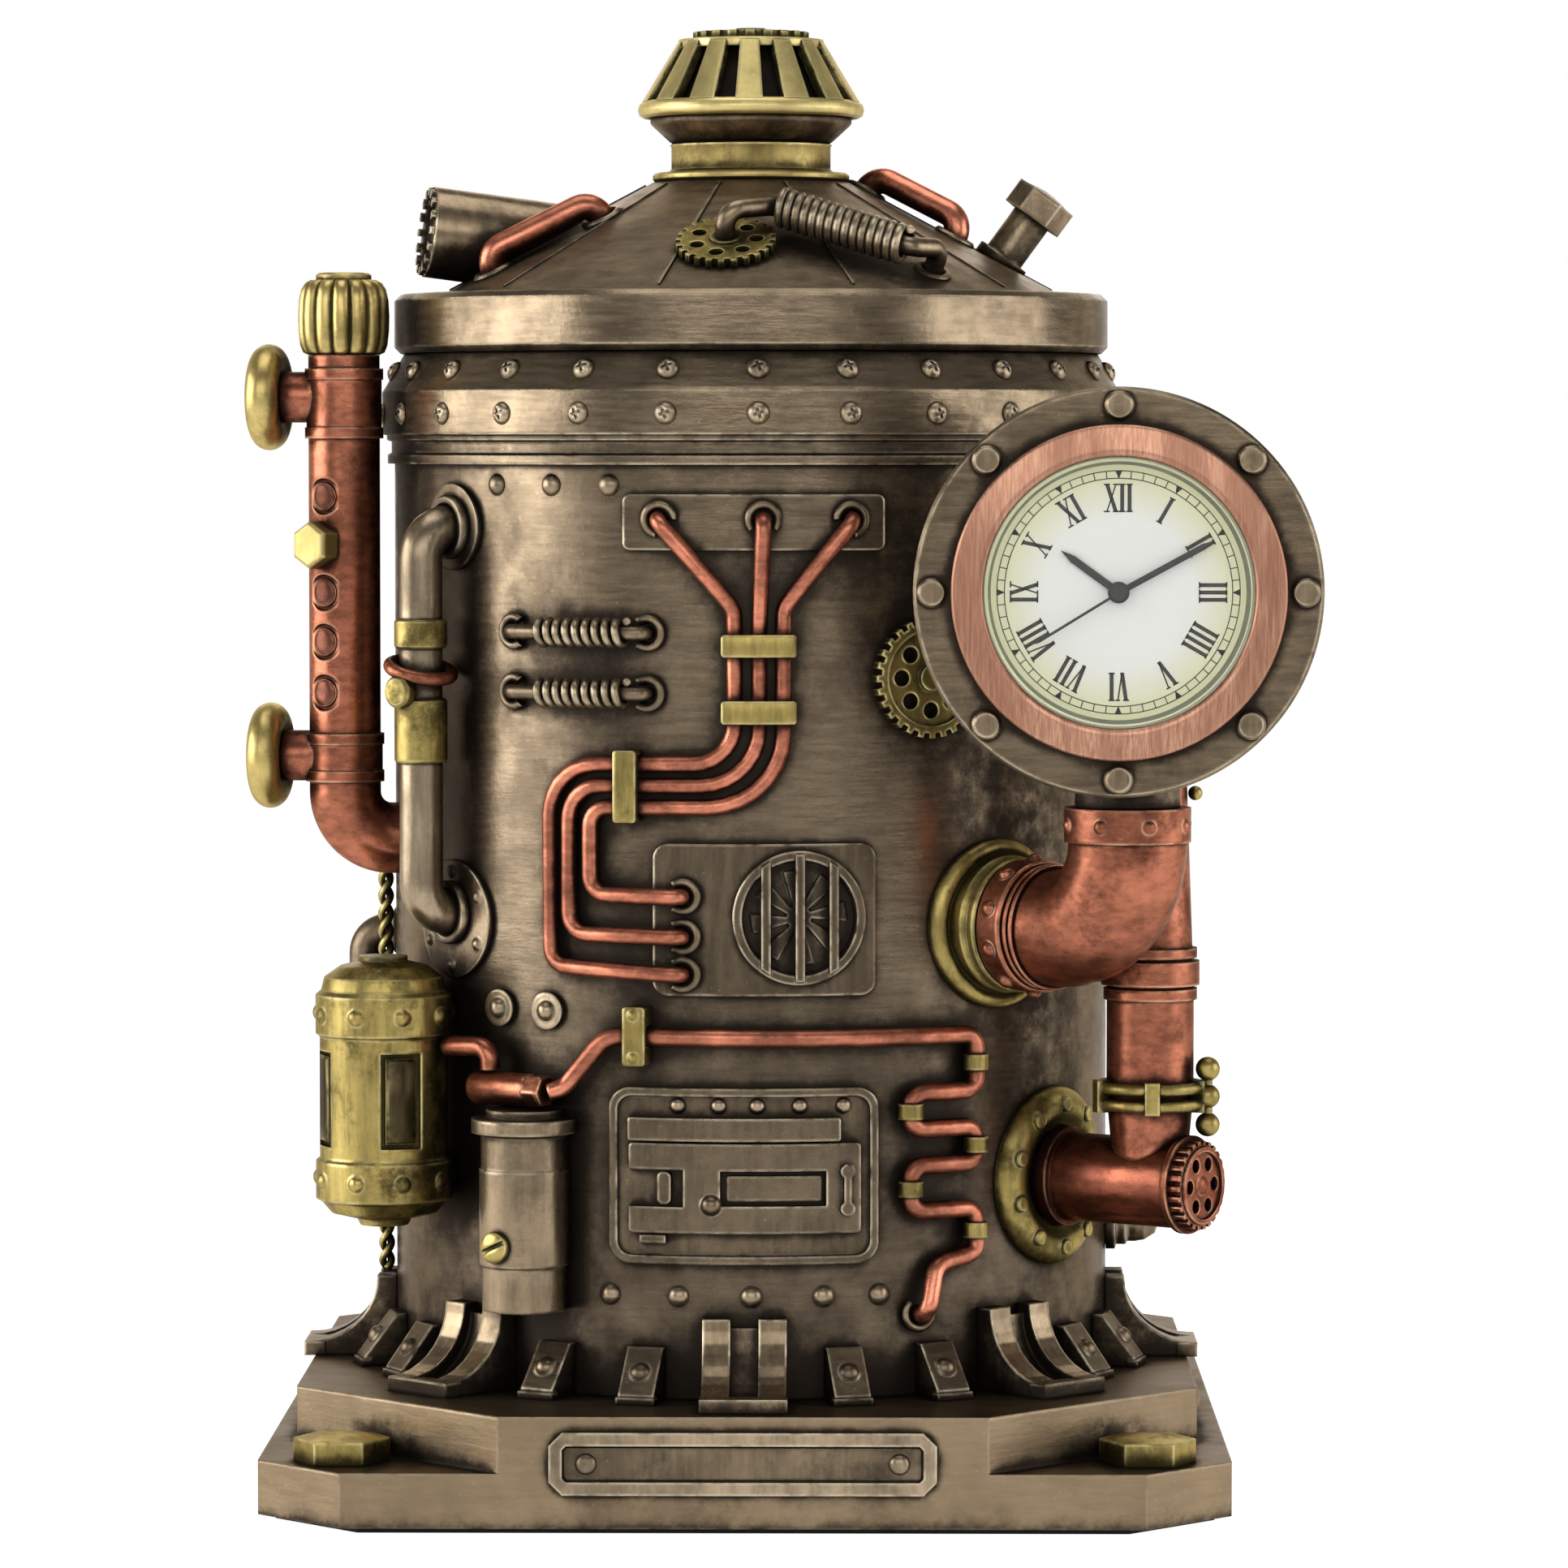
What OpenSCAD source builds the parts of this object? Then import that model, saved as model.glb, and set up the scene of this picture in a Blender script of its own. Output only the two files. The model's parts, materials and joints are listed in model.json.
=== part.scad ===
// Trinket box clock: a boiler-shaped box with a lift-off lid and an insert clock on an elbow pipe.
// Millimetres. Front is -Y, up is +Z, the origin is the centre of the resting face.

/* [Boiler] */
// Outer radius of the boiler wall
shell_r = 45.7; // [42:0.1:50]
// Thickness of the boiler wall
shell_wall = 5.5; // [3:0.1:8]
// Height of the boiler wall over the deck of the plinth
shell_h = 124.1; // [118:0.1:140]
// Thickness of the compartment floor
floor_t = 5.6; // [3:0.1:10]

/* [Plinth] */
// Space between the boiler wall and the front edge of the plinth
plinth_margin = 13.8; // [12:0.1:18]
// Thickness of the lower plate
lower_h = 7.5; // [5:0.1:12]
// Thickness of the upper tier
upper_h = 6.9; // [4:0.1:12]
// Corner cut of the lower plate
lower_cut = 10.8; // [6:0.1:16]
// Corner cut of the upper tier along its front edge
upper_cut = 29.9; // [26:0.1:34]
// How far the sides of the upper tier stand back
upper_inset = 3.5; // [1:0.1:6]
// Thickness of the felt pad
pad_t = 0.8; // [0.4:0.1:2]

/* [Collar and lid] */
// Height of the riveted band
band_h = 5.8; // [4:0.1:8]
// How far the riveted band stands out from the wall
band_out = 1.6; // [1:0.1:3]
// Height of the sloping neck over the band
neck_h = 4.4; // [3:0.1:7]
// Height of the lid rim
rim_h = 7.5; // [5:0.1:12]
// Height of the lid cone
cone_h = 14.4; // [10:0.1:20]
// Radius of the lid cone at its top
cone_top_r = 12.6; // [10:0.1:16]
// Depth of the lid plug in the mouth
plug_h = 4.0; // [2:0.1:8]
// Number of screws in each collar row
collar_screws_n = 26; // [16:1:36]

/* [Finial] */
// Radius of the finial neck
finial_neck_r = 10.2; // [8:0.1:12]
// Radius of the cage ring
cage_r = 14.5; // [12:0.1:17]
// Height of the cage slats
cage_h = 9.6; // [6:0.1:14]
// Number of cage slats
cage_slats = 14; // [8:1:20]

/* [Clock] */
// Distance of the clock axis right of the boiler axis
clock_x = 45.0; // [44:0.1:48]
// Distance of the clock front plate before the boiler axis
clock_front = 60.5; // [60:0.1:66]
// Height of the clock axis over the table
clock_z = 113.8; // [112:0.1:118]
// Width of the housing flange round the bezel
housing_rim = 4.5; // [3.4:0.1:5.9]
// Radius of the insert body
insert_r = 17.9; // [15:0.1:18.5]
// Radius of the insert bezel
bezel_r = 20.1; // [19.2:0.1:21]
// Radius of the crystal
crystal_r = 16.2; // [14:0.1:16.5]
// Length of the minute hand
minute_len = 13.0; // [9:0.1:13.5]
// Length of the hour hand
hour_len = 8.6; // [6:0.1:10]
// Length of the second hand
second_len = 11.8; // [9:0.1:13]

/* [Pipes and wires] */
// Radius of the harness wires
wire_r = 1.0; // [0.6:0.05:1.1]
// Radius of the steam line
line_r = 0.95; // [0.6:0.05:1.05]
// Radius of the clock elbow pipe
elbow_r = 7.2; // [6:0.1:8]
// Height of the clock elbow flange
elbow_z = 72.3; // [70:0.1:74]
// Radius of the riser pipe
riser_r = 5.4; // [4:0.1:5.8]
// Radius of the standpipe
stand_r = 4.5; // [3.5:0.1:4.8]
// Radius of the side rail
rail_r = 2.7; // [2:0.1:3]
// Radius of the brass tank bands
tank_r = 8.5; // [7:0.1:9]
// Wire radius of the small springs
spring_wire = 0.42; // [0.3:0.01:0.45]

/* [Hidden] */
// Gap of a glued seat, so that two surfaces lie close and share no volume
seat = 0.05;
// Running clearance of a turning shaft
run_gap = 0.05;
// Sliding clearance round the lid plug and the insert
slide_gap = 0.35;
// Smoothness of round forms
$fn = 64;
deck_z = lower_h + upper_h;
wall_top = deck_z + shell_h;
inner_r = shell_r - shell_wall;
// The steam line, and heights over it: fittings of the upper wall keep their share of the way to the rim
line_high = deck_z + 44.5;
drawn_span = 79.6;
function up(rise) = line_high + rise * (wall_top - line_high) / drawn_span;
plinth_half = shell_r + plinth_margin;
upper_side = plinth_half - upper_inset;
upper_flat = plinth_half - upper_cut;
band_r = shell_r + band_out;
band_z = wall_top - band_h;
neck_top = wall_top + neck_h;
neck_top_r = shell_r - 1.2;
lid_z = neck_top + 0.1;
rim_top = lid_z + rim_h;
cone_r = shell_r - 6.0;
cone_top = rim_top + cone_h;
finial_z = cone_top;
cage_z = finial_z + 8.2;
cage_top = cage_z + cage_h;
// The neck under the clock stands a little right of the dial's centre and behind the flange
neck_x = clock_x + 1.5;
housing_axis = 9.8;
elbow_a = atan2(neck_x, clock_front - housing_axis);
elbow_reach = norm([neck_x, clock_front - housing_axis]);
housing_r = bezel_r + housing_rim;
drum_r = bezel_r + 2.2;
drum_t = 17;
bore_r = insert_r + slide_gap;
bore_t = 15;
wall_clear = 0.25;
// Turn of each hand from twelve, clockwise as seen from the front
hour_at = 306;
minute_at = 61.5;
second_at = 238.5;
bronze = [0.36, 0.30, 0.23];
copper = [0.62, 0.27, 0.17];
brass = [0.66, 0.55, 0.26];
dark = [0.16, 0.14, 0.12];

// Small forms

module dome(a, h) {
    ball = (a * a + h * h) / (2 * h);
    intersection() {
        translate([0, 0, h - ball])
            sphere(ball);
        cylinder(h = h, r = a);
    }
}

module ring(outer, inner, h)
    difference() {
        cylinder(h = h, r = outer);
        translate([0, 0, -1])
            cylinder(h = h + 2, r = inner);
    }

module torus(mean, thick, turn = 360)
    rotate_extrude(angle = turn)
        translate([mean, 0])
            circle(thick, $fn = 24);

module round_rect(w, h, r) {
    square([w - 2 * r, h], center = true);
    square([w, h - 2 * r], center = true);
    for (x = [-1, 1], y = [-1, 1])
        translate([x * (w / 2 - r), y * (h / 2 - r)])
            circle(r);
}

// A spur wheel outline with round lightening holes
module wheel_outline(r, teeth, depth, holes, hole_r, hole_at)
    difference() {
        union() {
            circle(r - depth);
            for (i = [0:teeth - 1])
                rotate(i * 360 / teeth)
                    translate([r - depth, 0])
                        square([2 * depth, PI * r / teeth], center = true);
        }
        for (i = [0:holes - 1])
            rotate(i * 360 / holes)
                translate([hole_at, 0])
                    circle(hole_r, $fn = 24);
    }

// A round-headed screw with a cross slot, standing on the plane z = 0
module cross_screw(r, h)
    difference() {
        dome(r, h);
        for (turn = [0, 90])
            rotate(turn + 20)
                translate([0, 0, h])
                    cube([1.3 * r, 0.28 * r, 0.7 * h], center = true);
    }

// Placing on the boiler wall: x runs along the wall, y up and z outward
module at_wall(angle, height, lift = 0)
    rotate([0, 0, angle])
        translate([0, -shell_r - lift, height])
            rotate([90, 0, 0])
                children();

// What lies outside the boiler wall
module off_wall(gap = seat)
    difference() {
        children();
        cylinder(h = cage_top, r = shell_r + gap);
    }

// A layer of the boiler wall between two distances from its surface
module wall_skin(low, high)
    difference() {
        cylinder(h = wall_top, r = shell_r + high);
        translate([0, 0, -1])
            cylinder(h = wall_top + 2, r = shell_r + low);
    }

// An outline wrapped on the boiler wall as a curved plate
module wall_plate(angle, height, low, high)
    intersection() {
        wall_skin(low, high);
        at_wall(angle, height, -12)
            linear_extrude(24)
                children();
    }

// Round tubes along a path

function unit(v) = v / norm(v);
function on_wall(p) = [
    (shell_r + p[2]) * sin(p[0]),
    -(shell_r + p[2]) * cos(p[0]),
    p[1]];
// Wall places of a path, with the angle as a length so that its corners can be rounded
function unroll(p) = [p[0] * shell_r * PI / 180, p[1], p[2]];
function roll(p) = on_wall([p[0] * 180 / (PI * shell_r), p[1], p[2]]);
// One corner of a path as an arc
function corner(a, p, b, r, steps) =
    let (u = unit(a - p), v = unit(b - p), open = acos(u * v))
    open > 176 ? [p] :
    let (along = r / tan(open / 2), mid = p + unit(u + v) * r / sin(open / 2))
    let (out = unit(p + u * along - mid), sweep = 180 - open)
    [for (i = [0:steps]) mid + r * (cos(i * sweep / steps) * out - sin(i * sweep / steps) * u)];
function fillet(path, radii, steps) = [
    for (i = [0:len(path) - 1])
        each (i == 0 || i == len(path) - 1) ? [path[i]]
            : corner(path[i - 1], path[i], path[i + 1], radii[i], steps)];
function tangents(p) = [
    for (i = [0:len(p) - 1])
        unit(p[min(i + 1, len(p) - 1)] - p[max(i - 1, 0)])];
function square_to(n, t) = unit(n - (n * t) * t);
function carried(t, start, i = 0, done = []) =
    i == len(t) ? done
    : carried(t, start, i + 1, concat(done, [square_to(i == 0 ? start : done[i - 1], t[i])]));
function tube_points(p, r, sides, start) =
    let (t = tangents(p), n = carried(t, start))
    [for (i = [0:len(p) - 1], k = [0:sides - 1])
        p[i] + r * (cos(k * 360 / sides) * n[i] + sin(k * 360 / sides) * cross(t[i], n[i]))];
function tube_faces(rings, sides) = [
    for (i = [0:rings - 2], k = [0:sides - 1])
        let (a = i * sides + k, b = i * sides + (k + 1) % sides)
            each [[a, a + sides, b], [b, a + sides, b + sides]],
    for (k = [1:sides - 2])
        each [[0, k, k + 1], [(rings - 1) * sides, (rings - 1) * sides + k + 1, (rings - 1) * sides + k]]];

module tube(p, r, sides, start)
    polyhedron(tube_points(p, r, sides, start), tube_faces(len(p), sides), convexity = 10);

// A wire on the wall from one hole to another: it rises, follows its corners and dives in again
module wall_wire(path, radii, r, low, rise) {
    first = path[0];
    last = path[len(path) - 1];
    run = r + wall_clear;
    flat = concat(
        [[first[0], first[1], low], [first[0], first[1], rise]],
        [for (i = [1:len(path) - 2]) [path[i][0], path[i][1], run]],
        [[last[0], last[1], rise], [last[0], last[1], low]]);
    bends = concat([0, 1.5 * r], [for (i = [1:len(path) - 2]) radii[i]], [1.5 * r, 0]);
    unrolled = fillet([for (p = flat) unroll(p)], bends, 5);
    spaced = refine(unrolled, 4);
    tube([for (p = spaced) roll(p)], r, 8, [0, 0.001, 1]);
}

// Splits long stretches so that a wrapped path follows the wall
function refine(p, most) = [
    for (i = [0:len(p) - 2])
        let (n = max(1, ceil(norm(p[i + 1] - p[i]) / most)))
            for (k = [0:n - 1])
                p[i] + (p[i + 1] - p[i]) * k / n,
    p[len(p) - 1]];

// Plinth

module base_plinth()
    color(bronze) {
        translate([0, 0, pad_t])
            linear_extrude(lower_h - pad_t)
                cut_square(plinth_half, plinth_half, lower_cut);
        translate([0, 0, lower_h])
            linear_extrude(upper_h)
                intersection() {
                    square(2 * [upper_side, plinth_half], center = true);
                    rotate(45)
                        square(sqrt(2) * (plinth_half + upper_flat), center = true);
                }
        translate([upper_side - 0.1, -18, lower_h + upper_h / 2])
            rotate([0, 90, 0])
                dome(2.6, 1.2);
    }

module cut_square(x, y, cut)
    polygon([[cut - x, -y], [x - cut, -y], [x, cut - y], [x, y - cut],
        [x - cut, y], [cut - x, y], [-x, y - cut], [-x, cut - y]]);

module felt_pad()
    color(dark)
        linear_extrude(pad_t)
            cut_square(plinth_half - 2, plinth_half - 2, lower_cut);

module corner_bolts()
    color(brass)
        for (x = [-1, 1], y = [-1, 1])
            translate([x * (plinth_half - 10.3), y * (plinth_half - 10.3), lower_h]) {
                cylinder(h = 2.9, r = 5.9, $fn = 6);
                translate([0, 0, 2.9])
                    dome(4.9, 0.6);
            }

plate_w = 46.8;
plate_h = 7.6;
module name_plate()
    color(bronze)
        translate([0, -plinth_half, deck_z - 5.6])
            rotate([90, 0, 0]) {
                difference() {
                    linear_extrude(0.9)
                        cut_square(plate_w / 2, plate_h / 2, 1.6);
                    translate([0, 0, 0.4])
                        linear_extrude(1)
                            cut_square(plate_w / 2 - 1.6, plate_h / 2 - 1.6, 0.5);
                }
                for (x = [-1, 1])
                    translate([x * (plate_w / 2 - 4.5), 0, 0.4])
                        dome(1.25, 0.7);
            }

// Brackets and tabs round the foot of the boiler
bracket_top = 10.3;
bracket_w = 10.3;
rib_w = 3.4;
foot_r = shell_r + 11.3;
foot_h = 1.8;
foot_lip = 0.4;
top_out = 2.3;
function flare(inset) = concat(
    [[shell_r - 4, 0], [foot_r, 0], [foot_r, foot_h - inset]],
    [for (t = [0:10:90])
        [foot_r - inset - (foot_r - shell_r - top_out) * sin(t),
            foot_h - inset + (bracket_top - foot_h) * (1 - cos(t))]],
    [[shell_r - 4, bracket_top - inset]]);

module rib(inset, w)
    rotate([90, 0, 0])
        linear_extrude(w, center = true)
            polygon(flare(inset));

module bracket() {
    for (y = [-1, 1])
        translate([0, y * (bracket_w - rib_w) / 2, 0])
            rib(0, rib_w);
    rib(1.2, bracket_w - rib_w);
    translate([foot_r - 2.2, -bracket_w / 2 - foot_lip / 2, 0])
        cube([2.2 + foot_lip, bracket_w + foot_lip, foot_h]);
}

module buttress_brackets()
    color(bronze)
        off_wall()
            for (i = [0:7])
                rotate(i * 45 - 90)
                    translate([0, 0, deck_z])
                        bracket();

tab_w = 4.5;
tab_top = 6.6;
tab_r = shell_r + 5.6;
module anchor_tab() {
    rotate([90, 0, 0])
        linear_extrude(tab_w, center = true)
            polygon([[shell_r - 4, 0], [tab_r, 0], [tab_r, 1.2], [shell_r + 1.4, tab_top], [shell_r - 4, tab_top]]);
    slope = atan2(tab_top - 1.2, tab_r - shell_r - 1.4);
    translate([(tab_r + shell_r + 1.4) / 2, 0, (tab_top + 1.2) / 2])
        rotate([0, 90 - slope, 0])
            translate([0, 0, -0.2])
                dome(1.35, 1.1);
    translate([tab_r - 1, -tab_w / 2 - foot_lip / 2, 0])
        cube([1 + foot_lip, tab_w + foot_lip, 0.9]);
}

module anchor_tabs()
    color(bronze)
        off_wall()
            for (i = [0:7], step = [15, 30])
                rotate(i * 45 + step - 90)
                    translate([0, 0, deck_z])
                        anchor_tab();

// Boiler wall and collar

module boiler_shell()
    color(bronze)
        translate([0, 0, deck_z])
            difference() {
                cylinder(h = shell_h, r = shell_r);
                translate([0, 0, floor_t])
                    cylinder(h = shell_h, r = inner_r);
            }

module flange_ring()
    color(bronze)
        rotate_extrude()
            polygon([[shell_r + seat, band_z - 3.7], [shell_r + 0.9, band_z - 3.7],
                [shell_r + 0.9, band_z - 2.6], [shell_r + 0.4, band_z - 2.3],
                [shell_r + 0.4, band_z - 0.9], [shell_r + 1.0, band_z - 0.7],
                [shell_r + 1.0, band_z - 0.1], [band_r, band_z],
                [band_r, wall_top - 0.4], [band_r - 0.3, wall_top],
                [neck_top_r, neck_top], [inner_r, neck_top],
                [inner_r, wall_top + seat], [shell_r + seat, wall_top + seat]]);

screw_r = 1.4;
neck_tilt = atan2(band_r - 0.3 - neck_top_r, neck_h);
module collar_screws()
    color(bronze)
        for (i = [0:collar_screws_n - 1])
            rotate((i + 0.15) * 360 / collar_screws_n) {
                translate([0, -(band_r - 0.3 + neck_top_r) / 2, wall_top + neck_h / 2])
                    rotate([90 - neck_tilt, 0, 0])
                        translate([0, 0, seat])
                            cross_screw(screw_r, 0.9);
                translate([0, -band_r - seat, band_z + 0.45 * band_h])
                    rotate([90, 0, 0])
                        cross_screw(screw_r, 0.8);
            }

rivet_r = 1.35;
rivet_low = deck_z + 12.8;
rivet_high = band_z - 6.2;
door_z = deck_z + 27.7;
door_h = 21.6;
door_t = 0.9;
latch_z = door_z - 1.4;
bolt_z = up(2.9);
module wall_rivets()
    color(bronze) {
        for (a = [-21.3, -10.3, 1, 12.2, 21.1])
            at_wall(a, rivet_low, seat)
                dome(rivet_r, 0.8);
        for (a = [-42.4, -31.5, -21.4])
            at_wall(a, rivet_high, seat)
                dome(rivet_r, 0.8);
        for (a = [-10.1, -3.9, 1.9, 8.3, 15])
            at_wall(a, door_z + door_h / 2 - 2.2, door_t + seat)
                dome(1, 0.7);
        for (a = [-41.4, -32])
            at_wall(a, bolt_z, seat) {
                cylinder(h = 0.7, r = 2.3);
                translate([0, 0, 0.7])
                    dome(1.25, 1);
            }
    }

// Wire harness

term_z = up(63.1);
term_w = 32;
term_h = 6.8;
term_t = 0.9;
term_a = 1.4;
vent_a = 3.05;
vent_z = up(14.6);
vent_w = 27.2;
vent_h = 18.6;
vent_t = 0.9;
grom_r = 1.75;
grom_t = 0.55;
top_grom = [-12.8, 2.8, 16];
low_grom = [up(17.5), up(12.6), up(8)];
low_grom_a = -9.2;
spring_z = [up(49.6), up(42.2)];
spring_a = [-38.2, -14.9];
tail_a = 27.4;
tail_z = deck_z + 10.2;

module terminal_plate()
    color(bronze)
        wall_plate(term_a, term_z, seat, term_t)
            round_rect(term_w, term_h, 0.9);

// An open ring that a wire end leaves through, its gap toward the given turn
module grommet(gap_turn)
    rotate(gap_turn + 50)
        torus(grom_r, grom_t, 260);

module grommets()
    color(bronze) {
        turns = [-50, -90, -130];
        for (i = [0:2])
            at_wall(top_grom[i], term_z + 0.4, term_t + grom_t + seat)
                grommet(turns[i]);
        for (z = low_grom)
            at_wall(low_grom_a, z, vent_t + grom_t + seat)
                grommet(180);
        for (z = spring_z, i = [0, 1])
            at_wall(spring_a[i], z, grom_t + seat)
                grommet(180 * i);
        at_wall(tail_a, tail_z, grom_t + seat)
            grommet(80);
    }

wire_rise = 2.6 + term_t;
left_path = [[top_grom[0], term_z + 0.4], [-1.5, up(52.5)], [-1.4, up(33.7)],
    [-30.8, up(33.5)], [-30.6, up(8.7)], [low_grom_a, low_grom[2]]];
centre_path = [[top_grom[1], term_z + 0.4], [2.2, up(50.1)], [2.2, up(31.1)],
    [-27.4, up(30.9)], [-27.4, up(12.7)], [low_grom_a, low_grom[1]]];
right_path = [[top_grom[2], term_z + 0.4], [5.8, up(52.7)], [5.7, up(28.5)],
    [-23.9, up(28.3)], [-23.9, up(17.6)], [low_grom_a, low_grom[0]]];
module harness_wires()
    color(copper) {
        wall_wire(left_path, [0, 3, 5, 6.5, 2.4, 0], wire_r, term_t + seat, wire_rise);
        wall_wire(centre_path, [0, 6, 7, 4.2, 2.6, 0], wire_r, term_t + seat, wire_rise);
        wall_wire(right_path, [0, 3, 9, 2.4, 2.4, 0], wire_r, term_t + seat, wire_rise);
    }

// A strap over the wires with a tunnel cut through it
module wall_clip(angle, height, w, h, tunnel_w, tunnel_h, roof)
    difference() {
        wall_plate(angle, height, seat, roof + 0.9)
            round_rect(w, h, 0.4);
        wall_plate(angle, height, seat - 1, roof)
            square([tunnel_w, tunnel_h], center = true);
    }

strap_a = -16;
union_r = 1.55;
line_run = union_r + seat + 0.05;
wire_roof = 2 * wire_r + wall_clear + 0.15;
line_roof = line_run + line_r + 0.15;
strap_z = line_high + 0.4;
module harness_clips()
    color(brass) {
        wall_clip(2.1, up(48.1), 9.2, 2.7, 8, 4, wire_roof);
        wall_clip(2.1, up(40), 9.2, 2.8, 8, 4, wire_roof);
        wall_clip(-17.5, up(30.9), 2.9, 8.8, 4, 7.7, wire_roof);
        wall_clip(strap_a, strap_z, 2.8, 7.2, 4, 2.5, line_roof);
        for (side = [-1, 1])
            at_wall(strap_a, strap_z + 2.6 * side, line_roof + 0.8)
                dome(0.8, 0.5);
    }

// Two wound rods
rod_r = 0.9;
coil_r = 1.47;
coil_turns = 9;
coil_a = [-33.9, -19.3];
rod_lift = coil_r + spring_wire + wall_clear;
function rod_path(z) = [
    [spring_a[0], z, seat], [spring_a[0], z, rod_lift],
    [spring_a[1], z, rod_lift], [spring_a[1], z, seat]];

module spring_rods()
    color(bronze)
        for (z = spring_z)
            tube([for (p = refine(fillet([for (q = rod_path(z)) unroll(q)], [0, 1.6, 1.6, 0], 5), 3)) roll(p)],
                rod_r, 8, [0, 0.001, 1]);

rings_per_turn = 8;
function coil_point(z, i) =
    let (t = i / (coil_turns * rings_per_turn), turn = i * 360 / rings_per_turn)
    on_wall([coil_a[0] + t * (coil_a[1] - coil_a[0]), z + coil_r * cos(turn), rod_lift + coil_r * sin(turn)]);
tail_turn = 2 * spring_wire * 180 / (PI * shell_r) + 0.6;
function coil_end(z, side) = on_wall([coil_a[side] + (2 * side - 1) * tail_turn, z + coil_r, rod_lift]);
function coil(z) = concat([coil_end(z, 0)],
    [for (i = [0:coil_turns * rings_per_turn]) coil_point(z, i)], [coil_end(z, 1)]);
coil_pitch = (coil_a[1] - coil_a[0]) * PI / 180 * (shell_r + rod_lift - coil_r) / coil_turns;
echo(front_spring_gap = coil_pitch - 2 * spring_wire);

module front_springs()
    color(bronze)
        for (z = spring_z)
            tube(coil(z), spring_wire, 6, [0.001, 0, 1]);

// Vent

fan_a = 8.2;
fan_z = vent_z + 0.3;
fan_r = 8.2;
module vent_plate()
    color(bronze) {
        difference() {
            wall_plate(vent_a, vent_z, seat, vent_t)
                round_rect(vent_w, vent_h, 1.8);
            wall_plate(fan_a, fan_z, 0.4, vent_t + 1)
                circle(fan_r - 1.3);
        }
        wall_plate(fan_a, fan_z, 0.35, 0.75) {
            circle(1.5);
            for (i = [0:7])
                rotate(i * 45 + 10)
                    polygon([[1, -0.2], [5.8, -1.5], [5.8, 0.9], [1, 0.4]]);
        }
    }

module vent_grille()
    color(bronze) {
        wall_plate(fan_a, fan_z, vent_t + seat, vent_t + 0.9)
            difference() {
                circle(fan_r);
                circle(fan_r - 1.1);
            }
        wall_plate(fan_a, fan_z, vent_t + seat, vent_t + 1.3)
            intersection() {
                circle(fan_r - 0.4);
                for (x = [-4.2, 0, 4.2])
                    translate([x, 0])
                        square([1.1, 2 * fan_r], center = true);
            }
    }

// Fire door

door_w = 33;
latch_w = 28.4;
latch_h = 11;
module door_plate()
    color(bronze) {
        wall_plate(-0.2, door_z, seat, door_t)
            round_rect(door_w, door_h, 2.6);
        difference() {
            wall_plate(-0.2, door_z, door_t - 0.1, door_t + 0.4)
                round_rect(door_w, door_h, 2.6);
            wall_plate(-0.2, door_z, door_t - 0.2, door_t + 1)
                round_rect(door_w - 2, door_h - 2, 1.8);
        }
    }

module door_latch()
    color(bronze) {
        wall_plate(-1.6, latch_z + 7.2, door_t + seat, door_t + 1.4)
            round_rect(26.1, 2.8, 0.3);
        wall_plate(0, latch_z, door_t + seat, door_t + 1.3)
            difference() {
                round_rect(latch_w, latch_h, 0.5);
                translate([-latch_w / 2 + 3.3, 0])
                    square([6.8, 4.6], center = true);
                translate([3.5, 0])
                    square([13, 4.3], center = true);
            }
        wall_plate(-12, latch_z, door_t + seat, door_t + 0.9)
            round_rect(1.7, 4, 0.7);
        wall_plate(4.4, latch_z, door_t + seat, door_t + 0.8)
            round_rect(11.6, 3.1, 0.3);
        wall_plate(15.1, latch_z - 0.2, door_t + 1.3, door_t + 2) {
            square([0.9, 4.6], center = true);
            for (y = [-1, 1])
                translate([0, 2.3 * y])
                    circle(0.9);
        }
        at_wall(-4.9, latch_z - 2, door_t + 1.2)
            dome(1.3, 1.2);
        wall_plate(-13.8, latch_z - latch_h / 2 - 0.8, door_t + seat, door_t + 0.8)
            square([3.3, 1], center = true);
    }

// Steam line

line_bend = 1.2;
tee_a = -37.4;
tee_z = deck_z + 37.7;
tee_lift = 3.2;
tee_r = 2.1;
tee_half = 4.4;
tee_nose = 0.9;
hex_len = 2.2;
hex_r = 2.2;
line_gap = 0.45;
turn_in = 25.4;
turn_out = 36.8;
levels = [for (drop = [6.9, 11.4, 15.9, 21.5, 27]) line_high - drop];
line_start_a = tee_a + atan2(tee_half + hex_len + line_gap, shell_r + tee_lift);
line_start_lift = norm([tee_half + hex_len, shell_r + tee_lift]) - shell_r;
line_path = [
    [line_start_a, tee_z, line_start_lift], [line_start_a + 2, tee_z + 0.6, line_run + 1.2],
    [-21, line_high + 0.3, line_run], [turn_out, line_high, line_run],
    [turn_out, levels[0], line_run], [turn_in, levels[0], line_run],
    [turn_in, levels[1], line_run], [turn_out, levels[1], line_run],
    [turn_out, levels[2], line_run], [turn_in, levels[2], line_run],
    [turn_in, levels[3], line_run], [turn_out, levels[3], line_run],
    [turn_out, levels[4], line_run], [29.6, tail_z + 6, line_run],
    [tail_a, tail_z, 3], [tail_a, tail_z, seat]];
line_bends = concat([0, 3, 4], [for (i = [3:12]) line_bend], [2.2, 1.5, 0]);

module steam_line()
    color(copper)
        tube([for (p = refine(fillet([for (q = line_path) unroll(q)], line_bends, 5), 4)) roll(p)],
            line_r, 8, [0, 0.001, 1]);

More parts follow.
